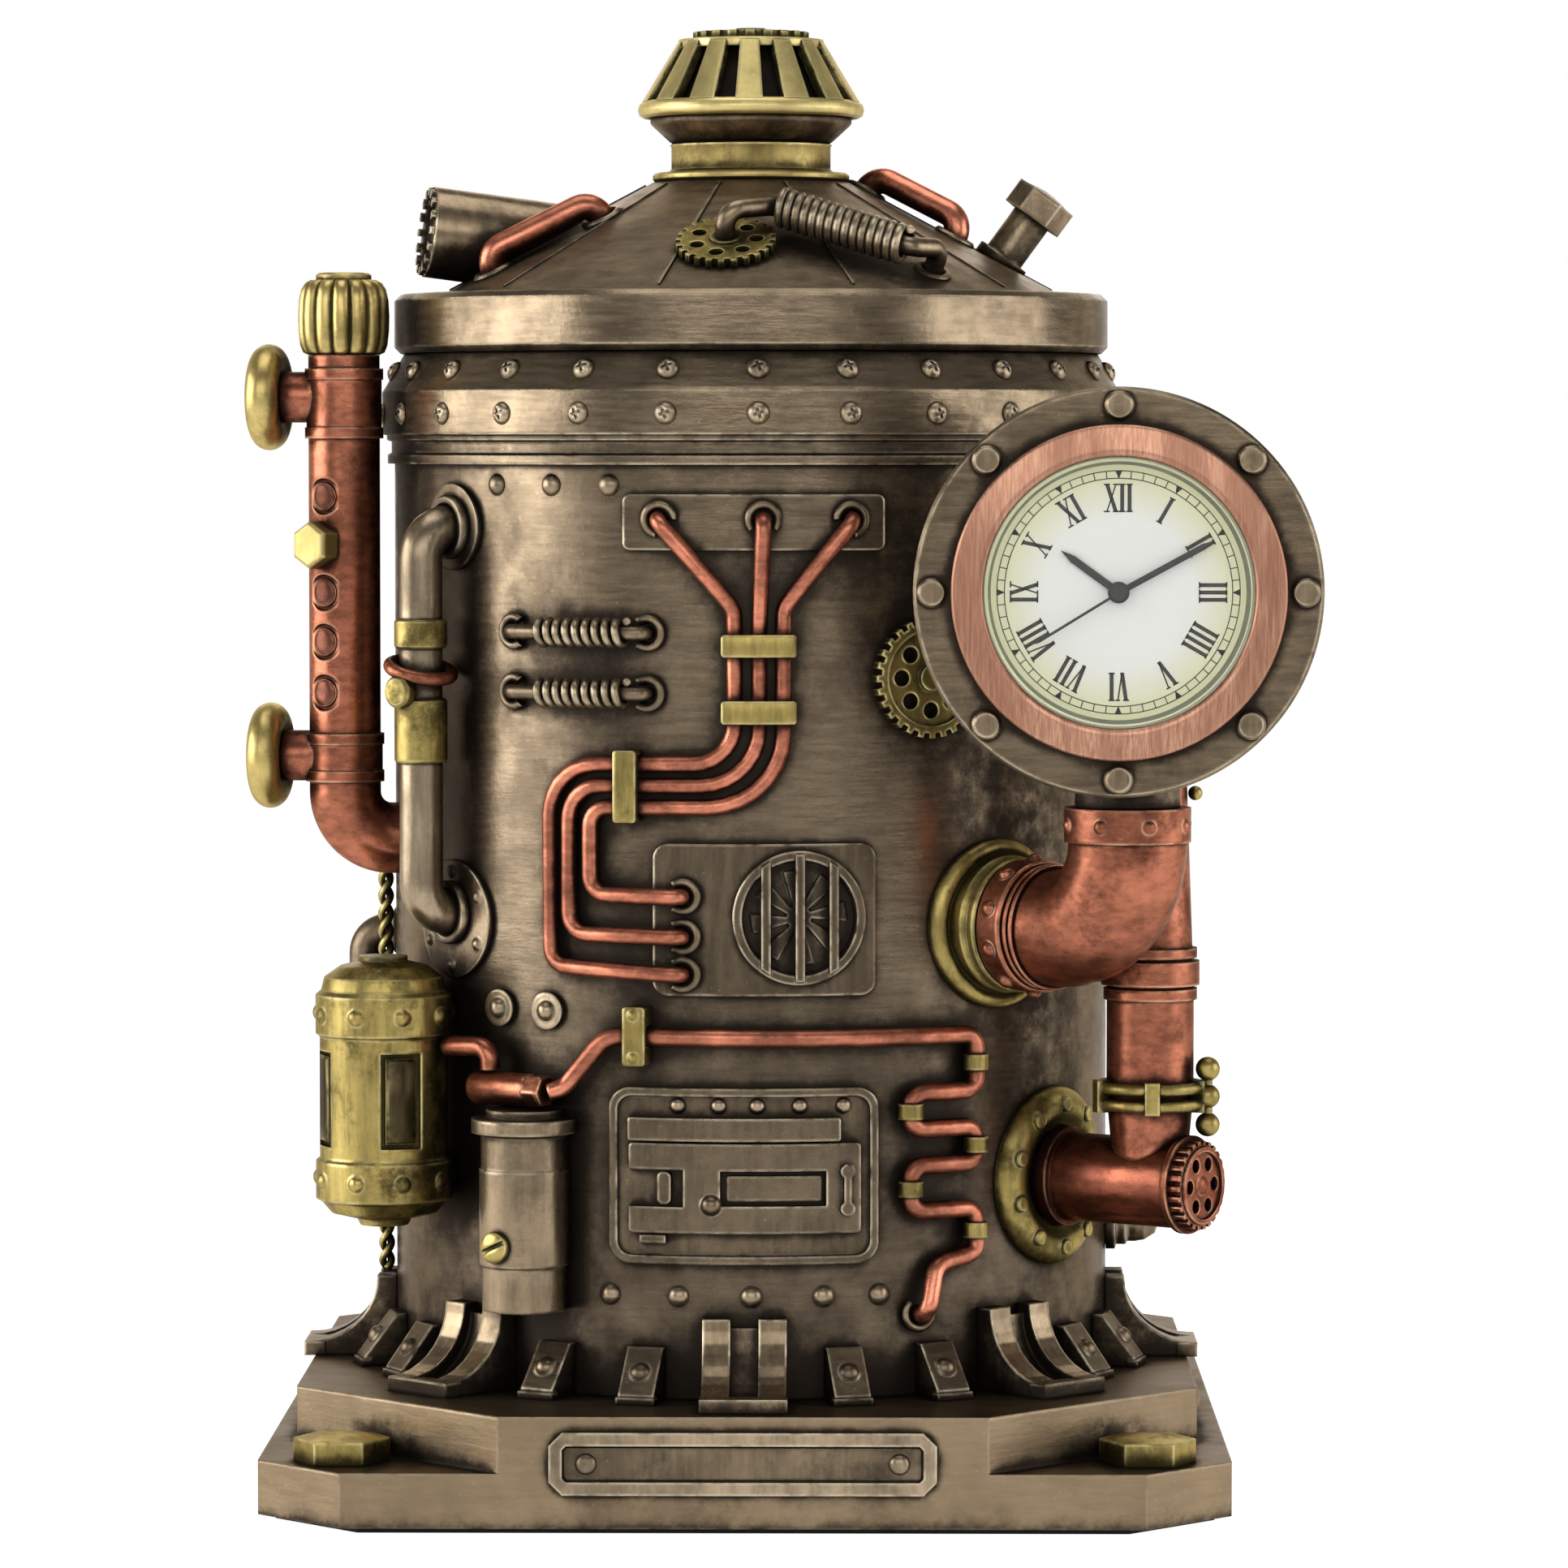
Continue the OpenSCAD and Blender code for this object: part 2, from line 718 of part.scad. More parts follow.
union_h = 1.9;
union_at = [
    [turn_out, (line_high + levels[0]) / 2], [turn_in, (levels[0] + levels[1]) / 2],
    [turn_out, (levels[1] + levels[2]) / 2], [turn_in, (levels[2] + levels[3]) / 2],
    [turn_out, (levels[3] + levels[4]) / 2]];
module line_unions()
    color(brass)
        for (u = union_at)
            rotate(u[0])
                translate([0, -shell_r - line_run, u[1] - union_h / 2])
                    ring(union_r, line_r + seat, union_h);

// Tank and the hose that leaves it
tank_a = -56.4;
tank_reach = shell_r + tank_r + 0.15;
tank_mid = [tank_reach * sin(tank_a), -tank_reach * cos(tank_a)];
tank_low = deck_z + 19.9;
tank_body = tank_r - 0.5;
hose_r = 1.25;
hose_a = -25;
hose_z = tank_low + 22.7;
hose_gap = 0.35;
hose_from = tank_mid + (tank_r + hose_gap) * [cos(hose_a), sin(hose_a)];
tee_top = tee_z + tee_r + 0.15;
drop_at = (shell_r + tee_lift) * [sin(tee_a), -cos(tee_a)] - 2.4 * [cos(tee_a), sin(tee_a)];
hose_path = [
    [hose_from[0], hose_from[1], hose_z],
    [drop_at[0], drop_at[1], hose_z + 0.2],
    [drop_at[0], drop_at[1], tee_top]];

module feed_hose()
    color(copper) {
        tube(fillet(hose_path, [0, 1.9, 0], 6), hose_r, 8, [0, 0.001, 1]);
        off_wall()
            rotate(tee_a)
                translate([0, -shell_r - tee_lift, tee_z])
                    rotate([0, 90, 0]) {
                        rotate_extrude()
                            polygon([[0, -tee_half - tee_nose], [1.4, -tee_half - tee_nose],
                                [tee_r - 0.4, -tee_half - tee_nose / 2], [tee_r, -tee_half],
                                [tee_r, tee_half], [0, tee_half]]);
                        translate([0, 0, tee_half - 0.1])
                            cylinder(h = hex_len + 0.1, r = hex_r, $fn = 6);
                    }
    }

tank_windows = 4;
tank_rivets = 9;
rivet_turn = 20;
window = [3.9, 10.6];
window_line = 0.6;
window_z = 16;
module at_windows()
    for (i = [0:tank_windows - 1])
        rotate(i * 360 / tank_windows + 20)
            translate([0, -tank_body, window_z])
                children();

module brass_tank()
    color(brass)
        translate([tank_mid[0], tank_mid[1], tank_low]) {
            difference() {
                rotate_extrude()
                    polygon([[0, 0], [3, 0], [3.4, 0.8], [6.6, 1.6], [7.8, 3], [tank_r, 3.4],
                        [tank_r, 8.1], [tank_body, 8.5], [tank_body, 23.6], [tank_r, 24],
                        [tank_r, 28.8], [7.8, 29.4], [7.4, 31], [5.4, 32.4], [3, 33], [3, 33.6], [0, 33.6]]);
                at_windows() {
                    cube([window[0], 0.7, window[1]], center = true);
                    difference() {
                        cube([window[0] + 2 * window_line, 1.8, window[1] + 2 * window_line], center = true);
                        cube([window[0], 3, window[1]], center = true);
                    }
                }
            }
            for (i = [0:tank_rivets - 1], z = [5.8, 26.4])
                rotate(i * 360 / tank_rivets + rivet_turn)
                    translate([0, -tank_r + 0.2, z])
                        rotate([90, 0, 0])
                            dome(1.2, 0.8);
        }

// Twisted cable of two strands on the left flank
cable_a = -87;
cable_low = deck_z + bracket_top + 0.6;
cable_high = deck_z + 64.6;
strand_r = 0.5;
strand_at = strand_r + seat;
cable_turns = 12;
cable_lift = strand_r + strand_at + wall_clear;
function strand(phase) = [
    for (i = [0:cable_turns * rings_per_turn])
        let (t = i / (cable_turns * rings_per_turn), turn = i * 360 / rings_per_turn + phase)
            [strand_at * cos(turn), strand_at * sin(turn), cable_low + t * (cable_high - cable_low)]];
module tank_cable()
    color(brass)
        rotate(cable_a)
            translate([0, -shell_r - cable_lift, 0])
                for (phase = [0, 180])
                    tube(strand(phase), strand_r, 6, [1, 0.001, 0]);

// Cartridge on the lower left of the wall

cart_a = -33.8;
cart_reach = shell_r + 3.3;
cart_low = deck_z + bracket_top + 0.3;
cart_r = 5.55;
module cartridge()
    color(bronze)
        off_wall()
            rotate(cart_a)
                translate([0, -cart_reach, cart_low])
                    rotate_extrude()
                        polygon([[0, 0], [5.2, 0], [5.2, 5.4], [cart_r, 5.7], [cart_r, 17.4],
                            [cart_r - 0.2, 17.5], [cart_r - 0.2, 21.6], [6.5, 22], [6.5, 23.7],
                            [4.7, 23.8], [4.7, 24.8], [0, 24.8]]);

module cartridge_screw()
    color(brass)
        rotate(cart_a)
            translate([0, -cart_reach, cart_low + 8.2])
                rotate([90, 0, 0])
                    rotate([0, -1, 0])
                        translate([0, 0, cart_r + seat])
                            difference() {
                                union() {
                                    cylinder(h = 0.7, r = 1.9);
                                    translate([0, 0, 0.7])
                                        dome(1.9, 0.5);
                                }
                                rotate(25)
                                    translate([0, 0, 1.2])
                                        cube([4.4, 0.6, 1.2], center = true);
                            }

// Elbow from the wall up or down into a standing pipe
module quarter(bend, r)
    rotate([180, 90, 0])
        rotate_extrude(angle = 90)
            translate([bend, 0])
                circle(r);

module wall_elbow(reach, bend, r) {
    translate([0, -reach + bend, 0])
        rotate([-90, 0, 0])
            cylinder(h = reach - bend - shell_r + 4, r = r);
    translate([0, -reach + bend, bend])
        quarter(bend, r);
}

// Standpipe on the left

stand_a = -73.6;
stand_reach = shell_r + 7.6;
stand_low = up(22.7);
stand_bend = 6;
stand_top = wall_top + 4.2;
tee_levels = [up(33.2), up(78.5)];
stand_rings = [30, 34.7, 73.3, 80.7];
stand_sleeves = [[30, 6], [73.3, 8.6]];
portholes = [41.3, 47.7, 53.9, 66];
knob_rise = 59.9;
branch_turn = -8;
branch_len = 7.8;
hub_back = 1.8;
module at_stand()
    rotate(stand_a)
        translate([0, -stand_reach, 0])
            rotate(-stand_a)
                children();

module standpipe()
    color(copper)
        off_wall()
            difference() {
                union() {
                    rotate(stand_a)
                        translate([0, 0, stand_low])
                            wall_elbow(stand_reach, stand_bend, stand_r);
                    at_stand() {
                        translate([0, 0, stand_low + stand_bend])
                            cylinder(h = stand_top - stand_low - stand_bend, r = stand_r);
                        for (z = tee_levels)
                            translate([0, 0, z])
                                rotate([0, -90, branch_turn])
                                    cylinder(h = branch_len, r = 3.2);
                        for (rise = stand_rings)
                            translate([0, 0, up(rise)])
                                cylinder(h = 1.4, r = stand_r + 0.45);
                        for (s = stand_sleeves)
                            translate([0, 0, up(s[0])])
                                cylinder(h = s[1], r = stand_r + 0.25);
                    }
                }
                at_stand()
                    for (rise = portholes)
                        translate([0, 0, up(rise)])
                            rotate([90, 0, -32])
                                translate([0, 0, stand_r - 0.5])
                                    ring(2.3, 1.7, 3);
            }

cap_h = 9.4;
cap_r = 5.6;
flutes = 14;
module standpipe_cap()
    color(brass)
        at_stand() {
            translate([0, 0, stand_top + seat])
                difference() {
                    union() {
                        cylinder(h = cap_h, r = cap_r);
                        translate([0, 0, cap_h])
                            cylinder(h = 0.9, r = 3.4);
                    }
                    for (i = [0:flutes - 1])
                        rotate(i * 360 / flutes)
                            translate([cap_r, 0, 1.6])
                                cylinder(h = cap_h, r = 0.55, $fn = 16);
                }
            difference() {
                translate([0, 0, up(knob_rise)])
                    rotate([90, 0, -38])
                        cylinder(h = stand_r + 2.4, r = 3, $fn = 6);
                cylinder(h = wall_top, r = stand_r + seat);
            }
        }

wheel_r = 6.7;
wheel_rim = 2.1;
module handwheel() {
    torus(wheel_r - wheel_rim, wheel_rim);
    translate([0, 0, -hub_back])
        cylinder(h = hub_back + 1.4, r = 1.9);
    for (i = [0:4])
        rotate(i * 72)
            translate([0, -0.6, -0.6])
                cube([wheel_r - wheel_rim, 1.2, 1.2]);
}

module handwheels()
    color(brass)
        at_stand()
            for (z = tee_levels)
                translate([0, 0, z])
                    rotate([0, -90, branch_turn])
                        translate([0, 0, branch_len + hub_back + seat])
                            handwheel();

// Side rail, a bow from wall to wall

rail_a = -52.5;
rail_low = tank_low + 38.9;
rail_high = up(62.3);
rail_bend = 4;
disc_t = 0.8;
rail_reach = shell_r + rail_bend + disc_t + 0.5;
module rail_end()
    translate([0, -rail_reach + rail_bend, rail_bend])
        quarter(rail_bend, rail_r);

module side_rail()
    color(bronze)
        off_wall(disc_t + seat)
            rotate(rail_a) {
                translate([0, 0, rail_low]) {
                    translate([0, -rail_reach, rail_bend])
                        cylinder(h = rail_high - rail_low - 2 * rail_bend, r = rail_r);
                    rail_end();
                    translate([0, -rail_reach + rail_bend, 0])
                        rotate([-90, 0, 0])
                            cylinder(h = 2, r = rail_r);
                }
                translate([0, 0, rail_high])
                    mirror([0, 0, 1]) {
                        rail_end();
                        translate([0, -rail_reach + rail_bend, 0])
                            rotate([-90, 0, 0])
                                cylinder(h = 2, r = rail_r);
                    }
            }

low_disc_r = 7.4;
high_disc_r = 5.4;
module rail_discs()
    color(bronze) {
        wall_plate(rail_a, rail_low - 0.8, seat, disc_t)
            circle(low_disc_r);
        for (i = [0:5])
            at_disc_rivet(i)
                dome(0.9, 0.6);
        wall_plate(rail_a, rail_high, seat, disc_t)
            circle(high_disc_r);
    }

module at_disc_rivet(i) {
    along = (low_disc_r - 1.5) * cos(i * 60 + 30);
    at_wall(rail_a + asin(along / shell_r), rail_low - 0.8 + (low_disc_r - 1.5) * sin(i * 60 + 30), disc_t - 0.1)
        children();
}

module rail_sleeves()
    color(brass)
        rotate(rail_a)
            translate([0, -rail_reach, 0]) {
                for (s = [[up(47.3), 3.6], [up(33.1), 8]])
                    translate([0, 0, s[0]])
                        ring(rail_r + 0.55, rail_r + seat, s[1]);
                translate([0, 0, up(42)])
                    rotate([90, 0, -18])
                        translate([0, 0, rail_r + 0.25])
                            cylinder(h = 1.9, r = 2);
                translate([0, 0, up(44.6)])
                    rotate([0, 16, 0])
                        torus(rail_r + 1.15, 0.85);
            }

// Elbow that carries the clock

elbow_bend = 11;
collar_h = 4.2;
neck_z = elbow_z + 15.3;
module clock_elbow()
    color(copper)
        off_wall()
            rotate(elbow_a)
                translate([0, 0, elbow_z]) {
                    wall_elbow(elbow_reach, elbow_bend, elbow_r);
                    translate([0, -elbow_reach, elbow_bend])
                        cylinder(h = neck_z - elbow_z - elbow_bend, r = elbow_r);
                    translate([0, -elbow_reach, neck_z - elbow_z - collar_h])
                        cylinder(h = collar_h, r = elbow_r + 0.5);
                    for (i = [0:7])
                        translate([0, -elbow_reach, neck_z - elbow_z - collar_h / 2])
                            rotate([90, 0, i * 45 + 20])
                                translate([0, 0, elbow_r + 0.3])
                                    dome(1, 0.7);
                    for (d = [3, 6.6])
                        translate([0, -shell_r - d - 1.6, 0])
                            rotate([-90, 0, 0])
                                cylinder(h = 1.8, r = elbow_r + 0.7);
                }

lower_a = 56.2;
lower_z = 40.1;
lower_r = 5.5;
lower_end = shell_r + 19.6;
// A round flange wrapped on the wall round a pipe, with a raised inner lip
module wrapped_flange(angle, height, outer, inner) {
    wall_plate(angle, height, seat, 1.2)
        difference() {
            circle(outer);
            circle(inner + seat);
        }
    wall_plate(angle, height, 1.1, 2.2)
        difference() {
            circle(inner + 1.7);
            circle(inner + seat);
        }
}

elbow_flange_r = 10.2;
lower_flange_r = 11.2;
flange_bolts = 10;
module pipe_flanges()
    color(brass) {
        wrapped_flange(elbow_a, elbow_z, elbow_flange_r, elbow_r + 0.7);
        wrapped_flange(lower_a, lower_z, lower_flange_r, lower_r + 0.7);
        for (i = [0:flange_bolts - 1]) {
            along = (lower_flange_r - 2.1) * sin(i * 360 / flange_bolts);
            at_wall(lower_a + asin(along / shell_r),
                lower_z + (lower_flange_r - 2.1) * cos(i * 360 / flange_bolts), 1.1)
                dome(1, 0.8);
        }
    }

module lower_pipe()
    color(copper)
        off_wall()
            rotate(lower_a)
                translate([0, 0, lower_z])
                    rotate([90, 0, 0]) {
                        cylinder(h = lower_end, r = lower_r);
                        translate([0, 0, shell_r + 1.4])
                            cylinder(h = 1.6, r = lower_r + 0.7);
                    }

cap_rim_r = 6.1;
cap_rim_t = 0.8;
cap_wheel_r = 5.5;
cap_wheel_t = 1.6;
module gear_cap()
    color(copper)
        rotate(lower_a)
            translate([0, -lower_end - seat, lower_z])
                rotate([90, 0, 0]) {
                    cylinder(h = cap_rim_t, r = cap_rim_r);
                    translate([0, 0, cap_rim_t]) {
                        linear_extrude(cap_wheel_t)
                            wheel_outline(cap_wheel_r, 26, 0.45, 6, 0.85, 2.9);
                        translate([0, 0, cap_wheel_t]) {
                            ring(4.8, 4.2, 0.4);
                            dome(1.2, 0.5);
                        }
                    }
                }

riser_reach = shell_r + 14.5;
riser_top = 104;
riser_bend = 6.5;
riser_foot = 11;
riser_foot_r = 4.4;
module riser_pipe()
    color(copper)
        off_wall()
            difference() {
                rotate(lower_a) {
                    translate([0, -riser_reach, lower_z]) {
                        cylinder(h = riser_foot, r1 = riser_foot_r, r2 = riser_r);
                        translate([0, 0, riser_foot])
                            cylinder(h = 24 - riser_foot, r = riser_r);
                        for (c = [[22.8, 1.4, 0.4], [24.6, 3, 0.7], [28, 1.2, 0.4]])
                            translate([0, 0, c[0]])
                                cylinder(h = c[1], r = riser_r + c[2]);
                        translate([0, 0, 24])
                            cylinder(h = riser_top - riser_bend - lower_z - 24, r1 = riser_r, r2 = 4.2);
                    }
                    translate([0, 0, riser_top])
                        mirror([0, 0, 1])
                            wall_elbow(riser_reach, riser_bend, 4.2);
                }
                rotate(lower_a)
                    translate([0, 0, lower_z])
                        rotate([90, 0, 0])
                            cylinder(h = lower_end + 3, r = lower_r + seat);
            }

clamp_z = lower_z + 10.9;
ball_turn = -18;
ball_out = 2;
high_ball = 37.4;
module wire_clamp()
    color(brass)
        rotate(lower_a)
            translate([0, -riser_reach, clamp_z])
                rotate(-lower_a) {
                    for (z = [-1, 1])
                        translate([0, 0, z])
                            torus(riser_r + 0.9, 0.75);
                    for (turn = [-70, 0, 70])
                        rotate(turn)
                            translate([-0.9, -riser_r - 1.9, -2])
                                cube([1.8, 1.7, 4]);
                    for (z = [-3.5, 0, 3.4])
                        rotate(ball_turn)
                            translate([riser_r + ball_out, 0, z])
                                sphere(1.5);
                    rotate(ball_turn)
                        translate([riser_r + ball_out, 0, -3.5])
                            cylinder(h = 6.9, r = 0.6);
                    translate([riser_r + 0.1, 0, high_ball])
                        sphere(0.9);
                }

gear_a = 29.1;
gear_z = up(44);
module wall_gear()
    color(brass)
        difference() {
            wall_plate(gear_a, gear_z, seat, 1.5)
                wheel_outline(7.4, 28, 0.6, 8, 1, 4);
            wall_plate(gear_a, gear_z, 1.1, 3)
                difference() {
                    circle(5.9);
                    circle(1.6);
                }
        }

// A down-turned pipe on the left flank and a ringed stub on the right
down_a = -98;
down_z = deck_z + 54;
down_r = 2.2;
down_bend = 3;
down_reach = shell_r + 5;
down_len = 6;
stub_a = 88;
stub_z = deck_z + 17;
stub_profile = [
    [0, 0], [3.5, 0], [3.5, 1.6], [2.9, 1.8], [2.9, 3],
    [2.5, 3.2], [2.5, 4.2], [2.3, 5.4], [1.4, 6.8], [0, 7.2]
];
module side_stub()
    color(bronze)
        off_wall() {
            rotate(down_a)
                translate([0, 0, down_z]) {
                    mirror([0, 0, 1])
                        wall_elbow(down_reach, down_bend, down_r);
                    translate([0, -down_reach, -down_bend - down_len])
                        cylinder(h = down_len, r = down_r);
                    translate([0, -down_reach, -down_bend - down_len])
                        cylinder(h = 1.4, r = down_r + 0.7);
                    rotate([90, 0, 0])
                        cylinder(h = shell_r + 1, r = down_r + 0.8);
                }
            rotate(stub_a)
                translate([0, -shell_r + 0.4, stub_z])
                    rotate([90, 0, 0])
                        rotate_extrude()
                            polygon(stub_profile);
        }

// Clock

// Placing on the clock: x right, y up and z out of the dial, from the front of the housing flange
module at_clock()
    translate([clock_x, -clock_front, clock_z])
        rotate([90, 0, 0])
            children();

module clock_housing()
    color(bronze)
        difference() {
            union() {
                at_clock()
                    difference() {
                        rotate_extrude()
                            polygon([[0, -drum_t], [drum_r - 4, -drum_t], [drum_r, -drum_t + 3],
                                [drum_r, -2.4], [housing_r, -2], [housing_r, -0.4],
                                [housing_r - 0.4, 0], [0, 0]]);
                        translate([0, 0, -bore_t])
                            cylinder(h = bore_t + 1, r = bore_r);
                    }
                difference() {
                    translate([neck_x, housing_axis - clock_front, neck_z + seat])
                        cylinder(h = clock_z - neck_z - drum_r + 3, r = 6.4);
                    at_clock()
                        translate([0, 0, -drum_t])
                            cylinder(h = drum_t + 1, r = drum_r - 1);
                }
            }
        }

stud_share = 0.4;
module housing_studs()
    color(bronze)
        at_clock()
            for (i = [0:7])
                rotate(i * 45)
                    translate([0, bezel_r + housing_rim / 2, seat]) {
                        cylinder(h = 0.6, r = stud_share * housing_rim);
                        translate([0, 0, 0.6])
                            cylinder(h = 0.4, r1 = stud_share * housing_rim, r2 = 0.8 * stud_share * housing_rim);
                    }

crystal_z = 1;
module clock_bezel()
    color(copper)
        at_clock()
            rotate_extrude()
                polygon([[crystal_r + seat, 0.1], [bezel_r, 0.1], [bezel_r, 1.7], [bezel_r - 0.25, 2],
                    [crystal_r + 0.8, 2.3], [crystal_r + 0.3, 2.2], [crystal_r + seat, 1.9]]);

module crystal()
    color([0.8, 0.9, 0.85, 0.4])
        at_clock()
            rotate_extrude()
                polygon([[0, crystal_z], [crystal_r, crystal_z], [crystal_r, crystal_z + 0.6],
                    [crystal_r - 0.5, crystal_z + 0.9], [0, crystal_z + 0.9]]);

dial_z = -1.7;
dial_t = 0.4;
tube_r = 1.15;
arbor_r = 0.75;
pin_r = 0.35;
module dial()
    color([0.92, 0.9, 0.78])
        at_clock()
            translate([0, 0, dial_z])
                ring(insert_r - 0.6, tube_r + run_gap, dial_t);

case_t = 10.4;
case_front = dial_z - seat;
case_back = case_front - case_t;
cell_r = 5.75;
cell_t = 2.1;
cell_at = [-8, -3];
knob_at = [7, 4];
stem_r = 0.9;
module movement()
    color(dark)
        at_clock()
            difference() {
                union() {
                    translate([0, 0, case_back])
                        cylinder(h = case_t, r = insert_r);
                    translate([0, 0, case_front - 0.1])
                        ring(insert_r, insert_r - 0.5, -case_front + 0.1);
                }
                translate([0, 0, case_front - 5.5])
                    cylinder(h = 8, r = tube_r + run_gap);
                translate([0, 0, case_front - 7])
                    cylinder(h = 3, r = arbor_r + run_gap);
                translate([cell_at[0], cell_at[1], case_back - 1])
                    cylinder(h = cell_t + 1.2, r = cell_r + 0.15);
                translate([knob_at[0], knob_at[1], case_back - 1])
                    cylinder(h = 5, r = stem_r + run_gap);
            }

module battery()
    color([0.75, 0.75, 0.75])
        at_clock()
            translate([cell_at[0], cell_at[1], case_back + 0.05])
                cylinder(h = cell_t, r = cell_r);

module setting_knob()
    color(dark)
        at_clock()
            translate([knob_at[0], knob_at[1], case_back]) {
                translate([0, 0, -1.8])
                    linear_extrude(1.5)
                        wheel_outline(2.4, 16, 0.25, 0, 0, 0);
                translate([0, 0, -0.4])
                    cylinder(h = 3.9, r = stem_r);
            }

// A hand that points up before it is turned to its place
module hand_blade(length, width, tail)
    polygon([[-width / 2, -tail], [width / 2, -tail], [width / 2, length - 2 * width], [0, length],
        [-width / 2, length - 2 * width]]);

module hour_hand()
    color(dark)
        at_clock()
            rotate(-hour_at)
                difference() {
                    union() {
                        translate([0, 0, -0.95])
                            linear_extrude(0.25) {
                                hand_blade(hour_len, 0.9, 0);
                                circle(1.3);
                            }
                        translate([0, 0, case_front - 5])
                            cylinder(h = -case_front + 4.2, r = tube_r);
                    }
                    translate([0, 0, case_front - 6])
                        cylinder(h = 12, r = arbor_r + run_gap);
                }

module minute_hand()
    color(dark)
        at_clock()
            rotate(-minute_at)
                difference() {
                    union() {
                        translate([0, 0, -0.4])
                            linear_extrude(0.25) {
                                hand_blade(minute_len, 0.75, 0);
                                circle(1.2);
                            }
                        translate([0, 0, case_front - 6])
                            cylinder(h = -case_front + 5.75, r = arbor_r);
                    }
                    translate([0, 0, case_front - 8])
                        cylinder(h = 14, r = pin_r + run_gap);
                }

module second_hand()
    color(dark)
        at_clock()
            rotate(-second_at) {
                translate([0, 0, 0.1])
                    linear_extrude(0.2)
                        hand_blade(second_len, 0.32, 2.4);
                translate([0, 0, 0.1])
                    cylinder(h = 0.55, r = 1.05);
                translate([0, 0, case_front - 5.5])
                    cylinder(h = -case_front + 5.7, r = pin_r);
            }

// Lid

plug_r = inner_r - slide_gap;
edge = 0.8;
function cone_radius(z) = cone_r + (cone_top_r - cone_r) * (z - rim_top) / cone_h;
cone_slope = atan2(cone_h, cone_r - cone_top_r);
// A place over the lid cone: turn, radius and distance along its normal
function cone_point(a, r, lift) =
    let (z = rim_top + cone_h * (cone_r - r) / (cone_r - cone_top_r), out = r + lift * sin(cone_slope))
    [out * sin(a), -out * cos(a), z + lift * cos(cone_slope)];
// Placing on the lid cone: x along it, y up the slope and z outward
module at_cone(a, r, lift = 0)
    translate(cone_point(a, r, lift))
        rotate([cone_slope, 0, a])
            children();

module cone_solid(grow)
    translate([0, 0, rim_top - 1])
        cylinder(h = cone_h + 1 + grow, r1 = cone_r + (cone_r - cone_top_r) / cone_h + grow,
            r2 = cone_top_r + grow - grow * (cone_r - cone_top_r) / cone_h);

module off_cone()
    difference() {
        children();
        cone_solid(2.2 * seat);
        translate([0, 0, lid_z])
            cylinder(h = rim_h + seat, r = shell_r);
    }

seams = 10;
seam_len = norm([cone_h, cone_r - cone_top_r]);
module lid()
    color(bronze)
        difference() {
            rotate_extrude()
                polygon([[0, lid_z - plug_h], [plug_r - 0.4, lid_z - plug_h], [plug_r, lid_z - plug_h + 0.4],
                    [plug_r, lid_z], [shell_r - edge, lid_z], [shell_r, lid_z + edge],
                    [shell_r, rim_top - edge], [shell_r - edge, rim_top], [cone_r, rim_top],
                    [cone_top_r, cone_top], [0, cone_top]]);
            for (i = [0:seams - 1])
                rotate(i * 360 / seams + 20)
                    translate([0, -(cone_r + cone_top_r) / 2, rim_top + cone_h / 2])
                        rotate([cone_slope, 0, 0])
                            cube([0.5, 0.86 * seam_len, 0.5], center = true);
        }

core_r = cage_r - 2.5;
core_top_r = 7.3;
module finial_neck()
    color(brass)
        translate([0, 0, finial_z])
            rotate_extrude()
                polygon([[0, seat], [cone_top_r - 0.3, seat], [cone_top_r, 0.4], [cone_top_r, 1.2],
                    [finial_neck_r, 1.6], [finial_neck_r, 4.8], [cage_r - 1.6, 7.6], [cage_r - 1.6, cage_z - finial_z],
                    [core_r, cage_z - finial_z], [core_r, cage_z - finial_z + 2.2],
                    [core_top_r, cage_z - finial_z + cage_h - 0.8], [0, cage_z - finial_z + cage_h - 0.8]]);

slat_share = 0.56;
cage_top_r = 9.4;
cap_t = 1.6;
module finial_cage()
    color(brass)
        translate([0, 0, cage_z + seat]) {
            rotate_extrude()
                polygon([[core_r + seat, 0], [cage_r - 0.7, 0], [cage_r - 0.2, 0.3], [cage_r, 1],
                    [cage_r - 0.2, 1.7], [cage_r - 0.7, 2.1], [core_r + seat, 2.1]]);
            for (i = [0:cage_slats - 1])
                rotate((i + 0.5 * (1 - slat_share)) * 360 / cage_slats)
                    rotate_extrude(angle = slat_share * 360 / cage_slats)
                        polygon([[core_r + 0.4, 2], [cage_r - 0.5, 2], [cage_top_r, cage_h], [cage_top_r - 1.6, cage_h]]);
            translate([0, 0, cage_h - 0.75]) {
                cylinder(h = 1.1, r = cage_top_r - 0.1);
                translate([0, 0, 1])
                    linear_extrude(1.1)
                        wheel_outline(7.4, 20, 0.5, 6, 1.2, 4);
                translate([0, 0, 1])
                    cylinder(h = cap_t, r = 1.9);
            }
        }

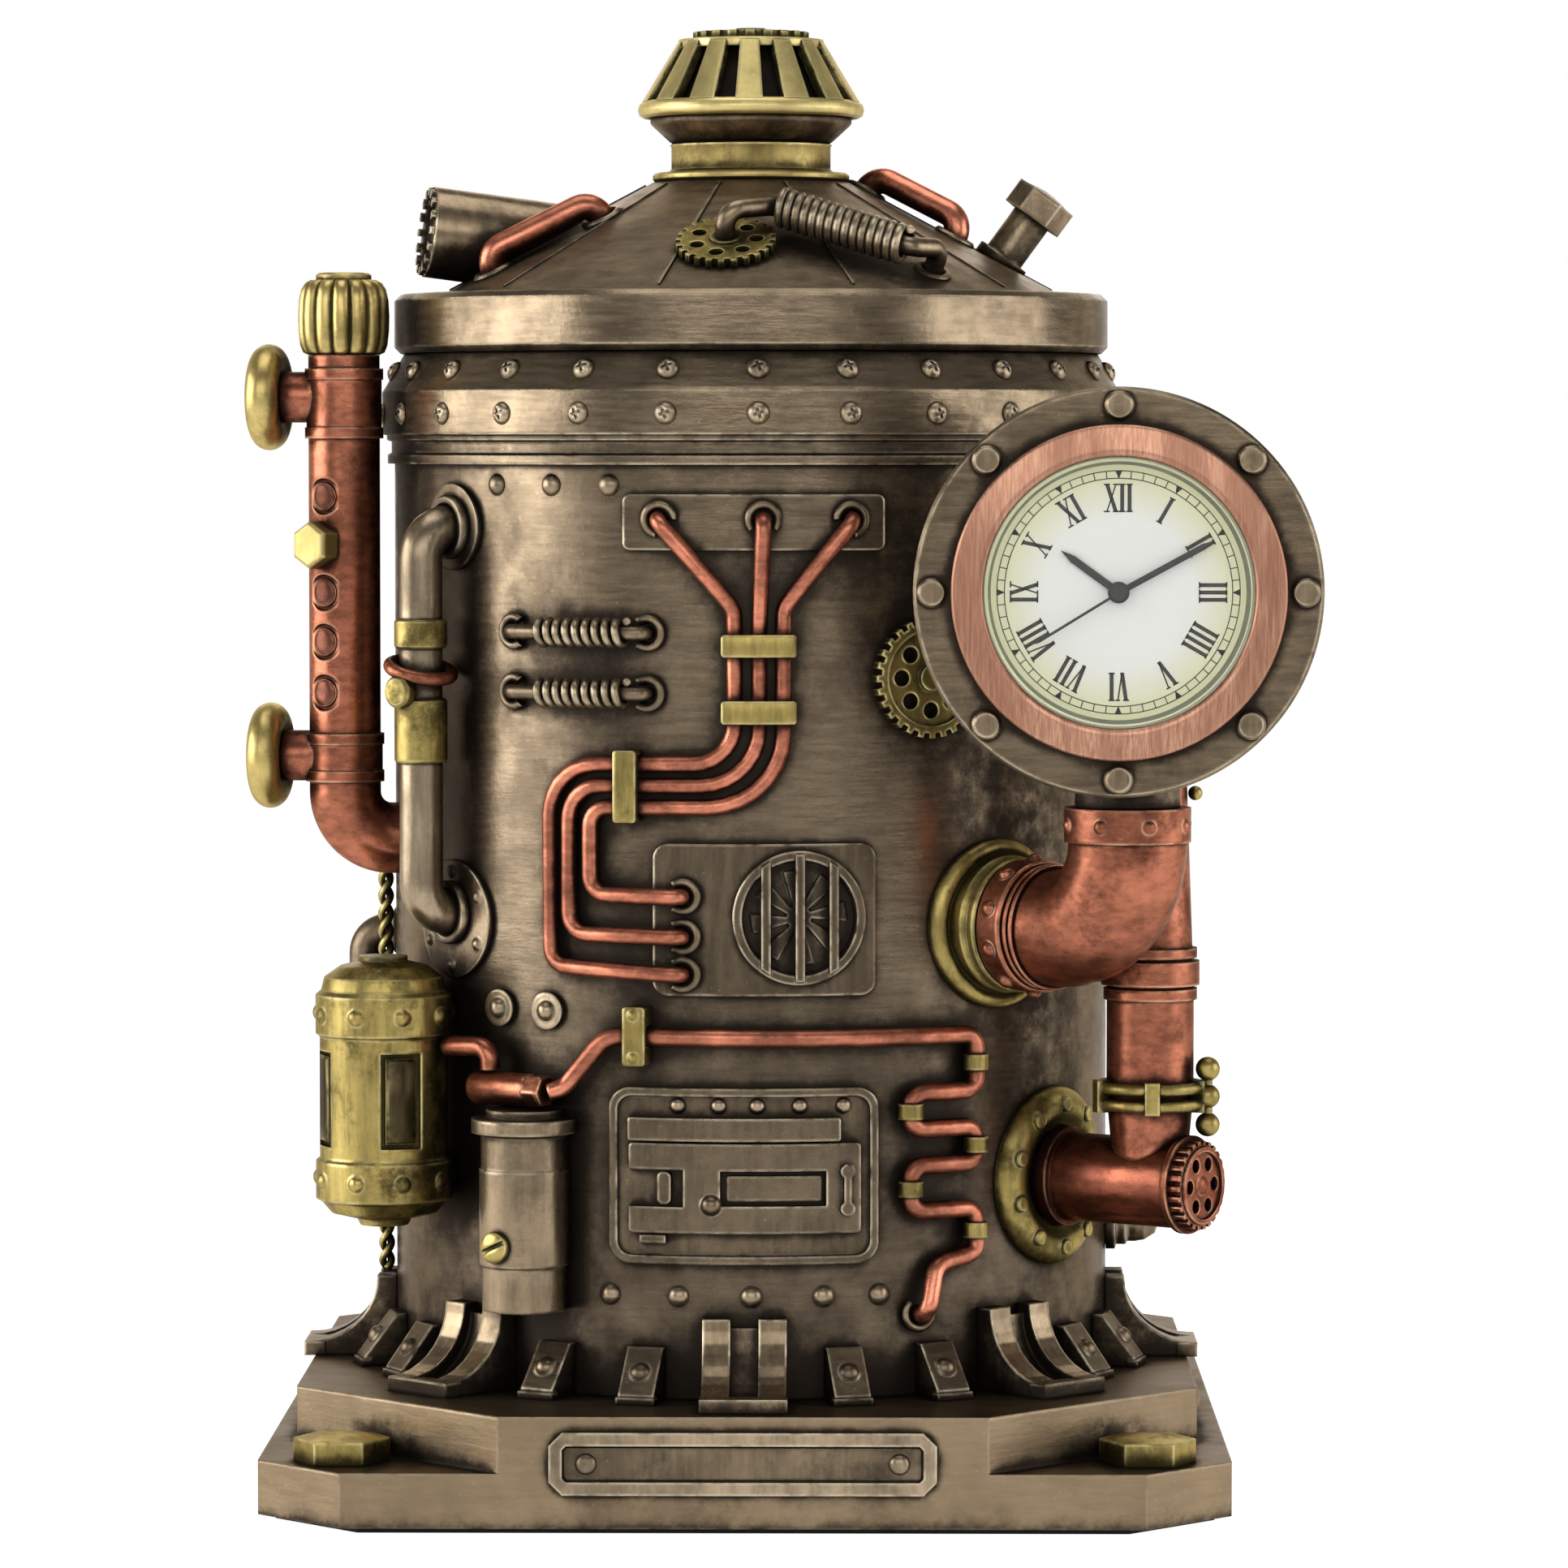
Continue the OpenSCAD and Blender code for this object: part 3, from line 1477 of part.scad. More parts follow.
gun_r = 5.8;
gun_from = [-41, -6, rim_top + 8];
gun_to = [-18, -1, rim_top + 5];
stud_tilt = 36;
stud_r = 2.6;
stud_at = 31.6;
module lid_fittings()
    color(bronze)
        off_cone() {
            translate(gun_from)
                point_along(gun_to - gun_from) {
                    difference() {
                        cylinder(h = norm(gun_to - gun_from), r = gun_r);
                        translate([0, 0, -1])
                            cylinder(h = 1.9, r = gun_r - 1.2);
                    }
                    for (i = [0:15])
                        rotate(i * 22.5)
                            translate([gun_r - 0.7, 0, 0.4])
                                cube([1, 0.9, 2], center = true);
                }
            translate(cone_point(90, stud_at, -2))
                rotate([0, stud_tilt, 0]) {
                    cylinder(h = 10.6, r = stud_r);
                    cylinder(h = 3, r = stud_r + 0.9);
                    translate([0, 0, 9])
                        cylinder(h = 3.4, r = stud_r + 1.5, $fn = 6);
                    translate([0, 0, 12.4])
                        dome(stud_r + 0.6, 0.5);
                }
        }

// Turns +Z of its children to a direction
module point_along(v)
    rotate([0, acos(v[2] / norm(v)), atan2(v[1], v[0])])
        children();

hoses = [[[-68.7, 34.6], [-58.5, 21.8]], [[82, 26.2], [98, 14.8]]];
cord_r = 1.6;
cord_rise = 3.8;
function hose(h) = [
    cone_point(h[0][0], h[0][1], seat), cone_point(h[0][0], h[0][1], cord_rise),
    cone_point(h[1][0], h[1][1], cord_rise), cone_point(h[1][0], h[1][1], seat)];
module lid_hoses()
    color(copper)
        for (h = hoses)
            tube(fillet(hose(h), [0, 3.4, 3.4, 0], 7), cord_r, 8, [0.001, 1, 0]);

lid_gear_a = -5;
lid_gear_r = cone_r - 10.3;
module lid_gear()
    color(brass)
        off_cone()
            at_cone(lid_gear_a, lid_gear_r) {
                translate([0, 0, -1.4])
                    linear_extrude(2.5)
                        wheel_outline(6.2, 24, 0.6, 7, 0.9, 3.8);
                cylinder(h = 1.5, r = 2);
            }

lid_rod_r = 1.25;
coil_from = [3.5, 12.2 - cone_r, rim_top + 10.6];
coil_to = [20.4, 7.9 - cone_r, rim_top + 5.3];
rod_foot = [40.4, cone_r - 4.3];
lid_rod_path = [
    cone_point(lid_gear_a, lid_gear_r, 1.5 + seat), cone_point(lid_gear_a, lid_gear_r, 5),
    coil_from, coil_to,
    cone_point(rod_foot[0], rod_foot[1], 3.4), cone_point(rod_foot[0], rod_foot[1], seat)];
module lid_rod()
    color(bronze)
        tube(refine(fillet(lid_rod_path, [0, 1.9, 3, 2.2, 1.6, 0], 5), 5), lid_rod_r, 8, [1, 0.001, 0]);

lid_coil_r = 2.1;
lid_wire = 0.42;
lid_turns = 12;
coil_axis = unit(coil_to - coil_from);
coil_side = unit(cross(coil_axis, [0, 0, 1]));
coil_up = cross(coil_side, coil_axis);
coil_start = coil_from + 0.8 * coil_axis;
coil_len = norm(coil_to - coil_from) - 1.6;
function lid_coil_point(i) =
    let (turn = i * 360 / rings_per_turn)
    coil_start + coil_axis * coil_len * i / (lid_turns * rings_per_turn)
        + lid_coil_r * (cos(turn) * coil_up + sin(turn) * coil_side);
lid_coil = concat([lid_coil_point(0) - 1.1 * coil_axis],
    [for (i = [0:lid_turns * rings_per_turn]) lid_coil_point(i)],
    [lid_coil_point(lid_turns * rings_per_turn) + 1.1 * coil_axis]);
echo(lid_spring_gap = coil_len / lid_turns - 2 * lid_wire);

module lid_spring()
    color(bronze)
        tube(lid_coil, lid_wire, 6, coil_axis);

base_plinth();
felt_pad();
corner_bolts();
name_plate();
buttress_brackets();
anchor_tabs();
boiler_shell();
flange_ring();
collar_screws();
wall_rivets();
terminal_plate();
grommets();
harness_wires();
harness_clips();
spring_rods();
front_springs();
vent_plate();
vent_grille();
door_plate();
door_latch();
steam_line();
line_unions();
feed_hose();
brass_tank();
tank_cable();
cartridge();
cartridge_screw();
standpipe();
standpipe_cap();
handwheels();
side_rail();
rail_discs();
rail_sleeves();
clock_elbow();
pipe_flanges();
lower_pipe();
gear_cap();
riser_pipe();
wire_clamp();
wall_gear();
side_stub();
clock_housing();
housing_studs();
lid();
finial_neck();
finial_cage();
lid_fittings();
lid_hoses();
lid_gear();
lid_rod();
lid_spring();
clock_bezel();
crystal();
dial();
movement();
battery();
hour_hand();
minute_hand();
second_hand();
setting_knob();
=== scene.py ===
"""A steam-boiler trinket box with an insert clock: finishes, fine detail, light and camera."""
import json
import math

import bmesh
import bpy
from mathutils import Matrix, Vector


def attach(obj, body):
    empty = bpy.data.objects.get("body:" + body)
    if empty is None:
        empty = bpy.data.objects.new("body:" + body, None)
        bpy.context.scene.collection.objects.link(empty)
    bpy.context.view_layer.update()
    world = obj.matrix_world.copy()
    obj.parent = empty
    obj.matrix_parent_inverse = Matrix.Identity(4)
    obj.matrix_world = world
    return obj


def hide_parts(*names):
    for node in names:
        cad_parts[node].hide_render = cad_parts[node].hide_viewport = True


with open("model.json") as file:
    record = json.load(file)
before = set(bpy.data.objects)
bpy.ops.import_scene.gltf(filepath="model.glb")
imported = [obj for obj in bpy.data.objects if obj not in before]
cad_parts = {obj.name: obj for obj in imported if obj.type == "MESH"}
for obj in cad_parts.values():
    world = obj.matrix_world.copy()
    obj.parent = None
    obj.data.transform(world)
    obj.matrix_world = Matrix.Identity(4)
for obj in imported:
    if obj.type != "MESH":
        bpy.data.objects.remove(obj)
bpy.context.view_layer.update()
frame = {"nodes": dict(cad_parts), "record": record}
nodes = frame["nodes"]

MM = 0.001
UP = Vector((0, 0, 1))


# Paints, in linear light: body, a dark colour for the wash, stains and painted shade, and rubbed edge

WASH_AND_SHADE = (0.020, 0.015, 0.012)
COPPER_WASH_AND_SHADE = (0.022, 0.007, 0.005)
BRASS_WASH_AND_SHADE = (0.026, 0.020, 0.007)
GLINT = (0.82, 0.70, 0.50)
BRONZE = ((0.34, 0.255, 0.162), WASH_AND_SHADE, GLINT)
BRONZE_LID = ((0.31, 0.234, 0.152), WASH_AND_SHADE, GLINT)
BRONZE_WALL = ((0.30, 0.226, 0.147), WASH_AND_SHADE, GLINT)
BRONZE_BASE = ((0.312, 0.229, 0.140), WASH_AND_SHADE, GLINT)
# Paler bronze for small raised parts: a painted highlight in place of their glints.
BRONZE_PALER_WITH_HIGHLIGHT = ((0.47, 0.366, 0.242), WASH_AND_SHADE, GLINT)
BRONZE_RING = ((0.235, 0.177, 0.114), WASH_AND_SHADE, GLINT)
BRONZE_PLATE = ((0.185, 0.139, 0.090), WASH_AND_SHADE, GLINT)
BRONZE_INLAY = ((0.25, 0.188, 0.119), WASH_AND_SHADE, GLINT)
BRONZE_DARK = ((0.10, 0.078, 0.055), WASH_AND_SHADE, (0.30, 0.25, 0.18))
COPPER = ((0.53, 0.185, 0.106), COPPER_WASH_AND_SHADE, (0.92, 0.54, 0.34))
COPPER_LOW = ((0.37, 0.118, 0.068), COPPER_WASH_AND_SHADE, (0.88, 0.46, 0.28))
COPPER_PANE = ((0.20, 0.075, 0.048), COPPER_WASH_AND_SHADE, (0.70, 0.38, 0.24))
COPPER_BRIGHT = ((0.82, 0.290, 0.174), COPPER_WASH_AND_SHADE, (0.94, 0.58, 0.38))
BRASS = ((0.50, 0.382, 0.124), BRASS_WASH_AND_SHADE, (0.86, 0.76, 0.38))
BRASS_FAIR = ((0.66, 0.505, 0.185), BRASS_WASH_AND_SHADE, (0.88, 0.77, 0.40))
# Brighter brass for the finial cage: painted light from above.
BRASS_CAGE_TOP_LIT = ((0.84, 0.68, 0.28), BRASS_WASH_AND_SHADE, (0.90, 0.80, 0.42))
BRASS_PANE = ((0.062, 0.046, 0.022), (0.020, 0.015, 0.007), (0.40, 0.33, 0.15))


# Shader building

class Graph:
    """One node material, with short calls for the nodes that the finishes are made of."""

    def __init__(self, name):
        self.material = bpy.data.materials.new(name)
        self.material.use_nodes = True
        self.tree = self.material.node_tree
        self.tree.nodes.clear()
        self.coords = self.add("ShaderNodeTexCoord").outputs["Object"]

    def add(self, kind, **settings):
        made = self.tree.nodes.new(kind)
        for key, value in settings.items():
            setattr(made, key, value)
        return made

    def feed(self, socket, value):
        if isinstance(value, bpy.types.NodeSocket):
            self.tree.links.new(value, socket)
        elif socket.type == "RGBA" and len(value) == 3:
            socket.default_value = (*value, 1.0)
        else:
            socket.default_value = value

    def stretched(self, scale, turn=(0, 0, 0)):
        made = self.add("ShaderNodeMapping")
        made.inputs["Scale"].default_value = scale
        made.inputs["Rotation"].default_value = turn
        self.feed(made.inputs["Vector"], self.coords)
        return made.outputs["Vector"]

    def noise(self, scale, detail=4.0, rough=0.55, coords=None):
        made = self.add("ShaderNodeTexNoise")
        self.feed(made.inputs["Vector"], coords or self.coords)
        made.inputs["Scale"].default_value = scale
        made.inputs["Detail"].default_value = detail
        made.inputs["Roughness"].default_value = rough
        return made.outputs["Fac"]

    def span(self, value, low, high, to_low=0.0, to_high=1.0):
        made = self.add("ShaderNodeMapRange", interpolation_type="SMOOTHSTEP")
        self.feed(made.inputs["Value"], value)
        made.inputs["From Min"].default_value = low
        made.inputs["From Max"].default_value = high
        made.inputs["To Min"].default_value = to_low
        made.inputs["To Max"].default_value = to_high
        return made.outputs["Result"]

    def math(self, operation, a, b=0.0):
        made = self.add("ShaderNodeMath", operation=operation)
        self.feed(made.inputs[0], a)
        self.feed(made.inputs[1], b)
        return made.outputs[0]

    def total(self, *parts):
        """The sum of values, each times its weight."""
        done = 0.0
        for value, weight in parts:
            made = self.add("ShaderNodeMath", operation="MULTIPLY_ADD")
            self.feed(made.inputs[0], value)
            self.feed(made.inputs[1], weight)
            self.feed(made.inputs[2], done)
            done = made.outputs[0]
        return done

    def mix(self, share, a, b):
        made = self.add("ShaderNodeMix", data_type="RGBA")
        self.feed(made.inputs["Factor"], share)
        self.feed(made.inputs[6], a)
        self.feed(made.inputs[7], b)
        return made.outputs[2]

    def recess(self, reach, low, high):
        """1 in the open, 0 in corners and under edges."""
        made = self.add("ShaderNodeAmbientOcclusion", samples=8)
        made.inputs["Distance"].default_value = reach
        return self.span(made.outputs["AO"], low, high)

    def rounded(self, radius):
        made = self.add("ShaderNodeBevel", samples=6)
        made.inputs["Radius"].default_value = radius
        return made.outputs["Normal"]

    def edges(self, rounded, start, full):
        """1 along edges, 0 on the flat."""
        normal = self.add("ShaderNodeNewGeometry").outputs["Normal"]
        dot = self.add("ShaderNodeVectorMath", operation="DOT_PRODUCT")
        self.feed(dot.inputs[0], rounded)
        self.feed(dot.inputs[1], normal)
        return self.span(self.math("SUBTRACT", 1.0, dot.outputs["Value"]), start, full)

    def upward(self):
        """The share of a surface's normal that points up."""
        split = self.add("ShaderNodeSeparateXYZ")
        self.feed(split.inputs[0], self.add("ShaderNodeNewGeometry").outputs["Normal"])
        return split.outputs["Z"]

    def height(self):
        """Height above the table, in metres."""
        split = self.add("ShaderNodeSeparateXYZ")
        self.feed(split.inputs[0], self.coords)
        return split.outputs["Z"]

    def bump(self, height, strength, depth, normal=None):
        made = self.add("ShaderNodeBump")
        self.feed(made.inputs["Height"], height)
        made.inputs["Strength"].default_value = strength
        made.inputs["Distance"].default_value = depth
        if normal is not None:
            self.feed(made.inputs["Normal"], normal)
        return made.outputs["Normal"]

    def finish(self, **values):
        shader = self.add("ShaderNodeBsdfPrincipled")
        for key, value in values.items():
            self.feed(shader.inputs[key.replace("_", " ")], value)
        out = self.add("ShaderNodeOutputMaterial")
        self.tree.links.new(shader.outputs[0], out.inputs["Surface"])
        return self.material


# Antique finish: noise scales in features per metre, lengths and heights in metres

BROAD = 38
PATCHES = 130
SPECKLE = 1500
RAGGED = 260
WORN = 420
STAINED = 95
EDGE_ROUND = 0.6 * MM
RELIEF_DEEP = 0.2 * MM
METAL = 0.9
EDGE_TINT = (0.55, 0.50, 0.45)
CROWN_FROM = 150.4 * MM
CROWN_FULL = 150.9 * MM
FOOT_LOW = 20 * MM
FOOT_HIGH = 110 * MM


def clear_of_wash_and_shade(g, wash):
    """1 in the open and 0 in corners, for the dark wash and the painted shade: with a ragged edge, and for
    the nearest corners alone.
    """
    near = g.recess(wash, 0.50, 1.0)
    wide = g.recess(3 * wash, 0.45, 1.0)
    air = g.math("MULTIPLY", near, g.span(wide, 0.0, 1.0, 0.35, 1.0))
    ragged = g.math("ADD", air, g.span(g.noise(RAGGED, 5, 0.7), 0.2, 0.8, -0.25, 0.25))
    return g.span(ragged, 0.10, 0.84), near


def rubbed_edges(g, rounded, near):
    """1 along edges in the open, in broken lines."""
    rubbed = g.math("MULTIPLY", g.edges(rounded, 0.010, 0.10), g.span(near, 0.25, 0.75))
    return g.math("MULTIPLY", rubbed, g.span(g.noise(WORN, 4), 0.30, 0.58))


def antique(name, paint, grain, rough=0.32, age=0.45, wash=0.006, stain=0.3, upward_dark=0.0, foot=0.0,
            crown=0.0, edge=0.85):
    """Cast metal finish: patina in patches, dry-brushed grain, dark wash and stains, painted shade in corners
    and round raised parts, rubbed edges.

    age is how bright the deep patches are beside the rest, and wash how far the dark wash and the painted
    shade reach out of corners, in metres. stain, pool and foot are how dark the stains, the faces that look
    up and the foot of the wall get, from 0 to 1. crown is how much rougher the cone is than the rim, and edge
    how bright the rubbed edges are.
    """
    body, shade, glint = paint
    g = Graph(name)
    broad = g.noise(BROAD, 3)
    patches = g.noise(PATCHES, 6, 0.62)
    speckle = g.noise(SPECKLE, 3)
    strokes = g.noise(1.0, 4, 0.65, g.stretched(grain))
    tone = g.total((broad, 0.324), (patches, 0.396), (strokes, 0.28))
    clear, near = clear_of_wash_and_shade(g, wash)
    rounded = g.rounded(EDGE_ROUND)
    rubbed = rubbed_edges(g, rounded, near)
    stains = g.span(g.noise(STAINED, 6, 0.72), 0.50, 0.68, 0.0, stain)
    # Darker on faces that look up, by up to pool.
    level = g.span(g.upward(), 0.80, 0.98, 0.0, upward_dark)
    # Darker towards the foot of the wall, by up to foot.
    low = g.span(g.height(), FOOT_LOW, FOOT_HIGH, foot, 0.0)
    high = g.span(g.height(), CROWN_FROM, CROWN_FULL, 0.0, crown)
    stains_and_darkening = g.math("MAXIMUM", g.math("MAXIMUM", stains, level), low)
    tint = g.mix(g.span(tone, 0.38, 0.62), [age * c for c in body], body)
    tint = g.mix(g.span(speckle, 0.64, 0.82, 0.0, 0.22), tint, glint)
    tint = g.mix(stains_and_darkening, tint, shade)
    # Painted shade, together with the dark wash: corners and the wall round raised parts go towards the shade
    # colour.
    tint = g.mix(g.span(clear, 0.0, 1.0, 0.94, 0.0), tint, shade)
    tint = g.mix(g.math("MULTIPLY", rubbed, edge), tint, glint)
    dull = g.math("ADD", g.span(tone, 0.38, 0.62, 0.10, -0.03), g.span(clear, 0.0, 1.0, 0.22, 0.0))
    brushed = g.span(strokes, 0.3, 0.7, rough - 0.05, rough + 0.06)
    gloss = g.total((dull, 1.0), (brushed, 1.0), (stains, 0.2), (high, 1.0))
    relief = g.total((strokes, 0.5), (speckle, 0.2), (patches, 1.2), (broad, 2.5))
    normal = g.bump(relief, 0.30, RELIEF_DEEP, rounded)
    return g.finish(Base_Color=tint, Specular_Tint=EDGE_TINT, Metallic=METAL, Roughness=gloss, Normal=normal)


# Grain of the brush strokes, as strokes per metre along x, y and z

ALONG_Z = (900, 900, 110)
AROUND_Z = (160, 160, 1300)
BRUSHED = (420, 420, 950)

bronze_body = antique("bronze_body", BRONZE_LID, AROUND_Z, rough=0.23, wash=0.006, crown=0.12)
bronze_wall = antique("bronze_wall", BRONZE_WALL, AROUND_Z, rough=0.24, age=0.55, wash=0.007, foot=0.5)
bronze_base = antique("bronze_base", BRONZE_BASE, AROUND_Z, age=0.75, wash=0.002, stain=0.1, upward_dark=0.55,
                      edge=0.25)
bronze_cast = antique("bronze_cast", BRONZE, ALONG_Z, rough=0.26, wash=0.004)
bronze_plate = antique("bronze_plate", BRONZE_PLATE, ALONG_Z, rough=0.26, wash=0.0017)
bronze_paler_with_highlight = antique("bronze_paler_with_highlight", BRONZE_PALER_WITH_HIGHLIGHT, ALONG_Z, rough=0.26, wash=0.002)
bronze_ring = antique("bronze_ring", BRONZE_RING, AROUND_Z, rough=0.28, wash=0.002)
bronze_name = antique("bronze_name", BRONZE_PALER_WITH_HIGHLIGHT, ALONG_Z, rough=0.26, wash=0.0012)
bronze_inlay = antique("bronze_inlay", BRONZE_INLAY, ALONG_Z, rough=0.28, wash=0.0015, stain=0.5)
bronze_stud = antique("bronze_stud", BRONZE_PALER_WITH_HIGHLIGHT, ALONG_Z, rough=0.26, wash=0.0004)
bronze_dark = antique("bronze_dark", BRONZE_DARK, ALONG_Z, wash=0.004)
copper_pipe = antique("copper_pipe", COPPER, BRUSHED, rough=0.27, age=0.36, wash=0.0028, stain=0.62)
copper_bright = antique("copper_bright", COPPER_BRIGHT, BRUSHED, rough=0.27, age=0.36, wash=0.0028, stain=0.5)
copper_low = antique("copper_low", COPPER_LOW, BRUSHED, rough=0.27, age=0.36, wash=0.004, stain=0.6)
copper_pane = antique("copper_pane", COPPER_PANE, BRUSHED, rough=0.30, age=0.4, wash=0.001, stain=0.6)
brass_trim = antique("brass_trim", BRASS, ALONG_Z, age=0.42, wash=0.0026, stain=0.75)
brass_old = antique("brass_old", BRASS, ALONG_Z, rough=0.28, age=0.3, wash=0.004, stain=0.9, upward_dark=0.6)
brass_fair = antique("brass_fair", BRASS_FAIR, ALONG_Z, age=0.6, wash=0.002, stain=0.5)
brass_cage_top_lit = antique("brass_cage_top_lit", BRASS_CAGE_TOP_LIT, ALONG_Z, age=0.8, wash=0.0016, stain=0.25)
brass_pane = antique("brass_pane", BRASS_PANE, ALONG_Z, age=0.5, wash=0.003, stain=0.4)


# Brushed copper bezel

BRUSH_TURN = (0, math.radians(-33), 0)
BRUSH_GRAIN = (3200, 3200, 150)
BRUSH_BANDS = (150, 150, 40)
BEZEL_DEEP = (0.37, 0.170, 0.103)
BEZEL_FAIR = (0.70, 0.395, 0.27)
BEZEL_BAND = (0.30, 0.135, 0.085)


def brushed_bezel():
    """Copper with straight scratches across it, in lighter and darker bands."""
    g = Graph("bezel_brushed")
    strokes = g.noise(1.0, 5, 0.7, g.stretched(BRUSH_GRAIN, BRUSH_TURN))
    bands = g.noise(1.0, 3, 0.6, g.stretched(BRUSH_BANDS, BRUSH_TURN))
    tint = g.mix(g.span(strokes, 0.3, 0.75), BEZEL_DEEP, BEZEL_FAIR)
    tint = g.mix(g.span(bands, 0.40, 0.62, 0.0, 0.55), tint, BEZEL_BAND)
    gloss = g.math("ADD", g.span(strokes, 0.2, 0.8, 0.24, 0.38), g.span(bands, 0.40, 0.62, 0.0, 0.10))
    normal = g.bump(strokes, 0.18, 0.00008, g.rounded(0.0004))
    return g.finish(Base_Color=tint, Metallic=METAL, Roughness=gloss, Normal=normal)


# Clock frame: local x to the right, y up, z out of the dial towards the viewer

CLOCK_X = 45.0 * MM
CLOCK_Y = -60.5 * MM
CLOCK_Z = 113.8 * MM
DIAL_WHITE = (0.97, 0.975, 0.965)
DIAL_CREAM = (0.86, 0.86, 0.54)
DIAL_FIBRE = (0.55, 0.55, 0.45)
CREAM_FROM = 8.0 * MM
CREAM_FULL = 15.4 * MM


def from_clock_centre(g):
    """Distance from the centre of the clock's front plane, in metres."""
    away = g.add("ShaderNodeVectorMath", operation="DISTANCE")
    g.feed(away.inputs[0], g.coords)
    away.inputs[1].default_value = (CLOCK_X, CLOCK_Y, CLOCK_Z)
    return away.outputs["Value"]


def dial_paper():
    """White paper that yellows towards its edge."""
    g = Graph("dial_paper")
    edge = g.span(from_clock_centre(g), CREAM_FROM, CREAM_FULL)
    fibre = g.noise(2600, 4)
    tint = g.mix(edge, DIAL_WHITE, DIAL_CREAM)
    tint = g.mix(g.span(fibre, 0.35, 0.7, 0.0, 0.05), tint, DIAL_FIBRE)
    normal = g.bump(fibre, 0.05, 0.00005)
    return g.finish(Base_Color=tint, Roughness=0.55, Normal=normal)


# Plain surfaces and glass

NEAR_BLACK = (0.004, 0.004, 0.004)
CLEAR = (0.985, 0.985, 0.965)
GLASS_IOR = 1.45


def plain(name, low, high, rough, metal=0.0, scale=900, relief=0.1):
    """Moulded or painted surface with a fine tooth, darkened towards near black in corners as painted shade.
    """
    g = Graph(name)
    tooth = g.noise(scale, 5)
    clear_of_shade = g.recess(0.003, 0.3, 0.95)
    tint = g.mix(g.span(tooth, 0.3, 0.7), low, high)
    # Painted shade: corners go towards near black.
    tint = g.mix(g.span(clear_of_shade, 0.0, 1.0, 0.6, 0.0), tint, NEAR_BLACK)
    gloss = g.span(tooth, 0.3, 0.7, rough - 0.06, rough + 0.06)
    normal = g.bump(tooth, relief, 0.00010, g.rounded(0.0003))
    return g.finish(Base_Color=tint, Metallic=metal, Roughness=gloss, Normal=normal)


def glass(name):
    """Clear glass with the faintest smear."""
    g = Graph(name)
    smear = g.noise(120, 3)
    gloss = g.span(smear, 0.3, 0.7, 0.0, 0.03)
    return g.finish(Base_Color=CLEAR, Roughness=gloss, IOR=GLASS_IOR, Transmission_Weight=1.0)


# Finishes by material slot, and those of single nodes

MATERIALS = {
    "bronze": bronze_cast,
    "copper": copper_pipe,
    "brass": brass_trim,
    "felt": plain("felt", (0.010, 0.010, 0.011), (0.030, 0.030, 0.032), 0.92, scale=2500, relief=0.5),
    "bezel_copper": brushed_bezel(),
    "crystal_glass": glass("crystal_glass"),
    "dial_paper": dial_paper(),
    "black_plastic": plain("black_plastic", (0.012, 0.012, 0.013), (0.024, 0.024, 0.026), 0.45),
    "cell_steel": plain("cell_steel", (0.48, 0.48, 0.47), (0.66, 0.66, 0.64), 0.30, metal=1.0),
    "hand_black": plain("hand_black", (0.018, 0.016, 0.015), (0.035, 0.032, 0.030), 0.42),
}
NODE_MATERIALS = {
    "base_plinth": bronze_base,
    "boiler_shell": bronze_wall,
    "lid": bronze_body,
    "flange_ring": bronze_body,
    "door_plate": bronze_plate,
    "door_latch": bronze_plate,
    "vent_plate": bronze_plate,
    "vent_grille": bronze_plate,
    "terminal_plate": bronze_ring,
    "buttress_brackets": bronze_cast,
    "anchor_tabs": bronze_ring,
    "clock_housing": bronze_ring,
    "finial_cage": brass_cage_top_lit,
    "handwheels": brass_fair,
    "brass_tank": brass_old,
    "lower_pipe": copper_low,
    "gear_cap": copper_low,
    "side_rail": bronze_paler_with_highlight,
    "wall_rivets": bronze_paler_with_highlight,
    "collar_screws": bronze_paler_with_highlight,
    "name_plate": bronze_name,
}


def dress_nodes():
    """Gives every solid its finish."""
    slot_of = {row["node"]: row["material_slot"] for row in frame["record"]["subparts"]}
    for name, obj in nodes.items():
        finish = NODE_MATERIALS.get(name) or MATERIALS[slot_of[name]]
        for slot in obj.material_slots:
            slot.link = "OBJECT"
            slot.material = finish


# Rounded corners

SHARP = math.radians(38)
WELD_WITHIN = 0.01 * MM
ROUNDED = {
    "harness_clips": 0.5 * MM,
    "lid_fittings": 0.3 * MM,
}


def round_corners():
    """Softens the cast corners of a few small pieces."""
    for name, width in ROUNDED.items():
        weld = nodes[name].modifiers.new("seams", "WELD")
        weld.merge_threshold = WELD_WITHIN
        soft = nodes[name].modifiers.new("rounding", "BEVEL")
        soft.width = width
        soft.segments = 3
        soft.limit_method = "ANGLE"
        soft.angle_limit = SHARP
        soft.harden_normals = True


dress_nodes()
round_corners()


# Mesh helpers

def make(name, mesh, finish, body, slot, *stands_for):
    """Turns a mesh, drawn in millimetres, into a piece that rides on a body."""
    bmesh.ops.remove_doubles(mesh, verts=mesh.verts, dist=1e-5)
    bmesh.ops.recalc_face_normals(mesh, faces=mesh.faces)
    bmesh.ops.scale(mesh, vec=(MM, MM, MM), verts=mesh.verts)
    for line in mesh.edges:
        line.smooth = len(line.link_faces) == 2 and line.calc_face_angle(0) < SHARP
    for face in mesh.faces:
        face.smooth = True
    data = bpy.data.meshes.new(name)
    mesh.to_mesh(data)
    mesh.free()
    data.materials.append(finish)
    obj = bpy.data.objects.new(name, data)
    bpy.context.scene.collection.objects.link(obj)
    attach(obj, body)
    if stands_for:
        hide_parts(*stands_for)
    return obj


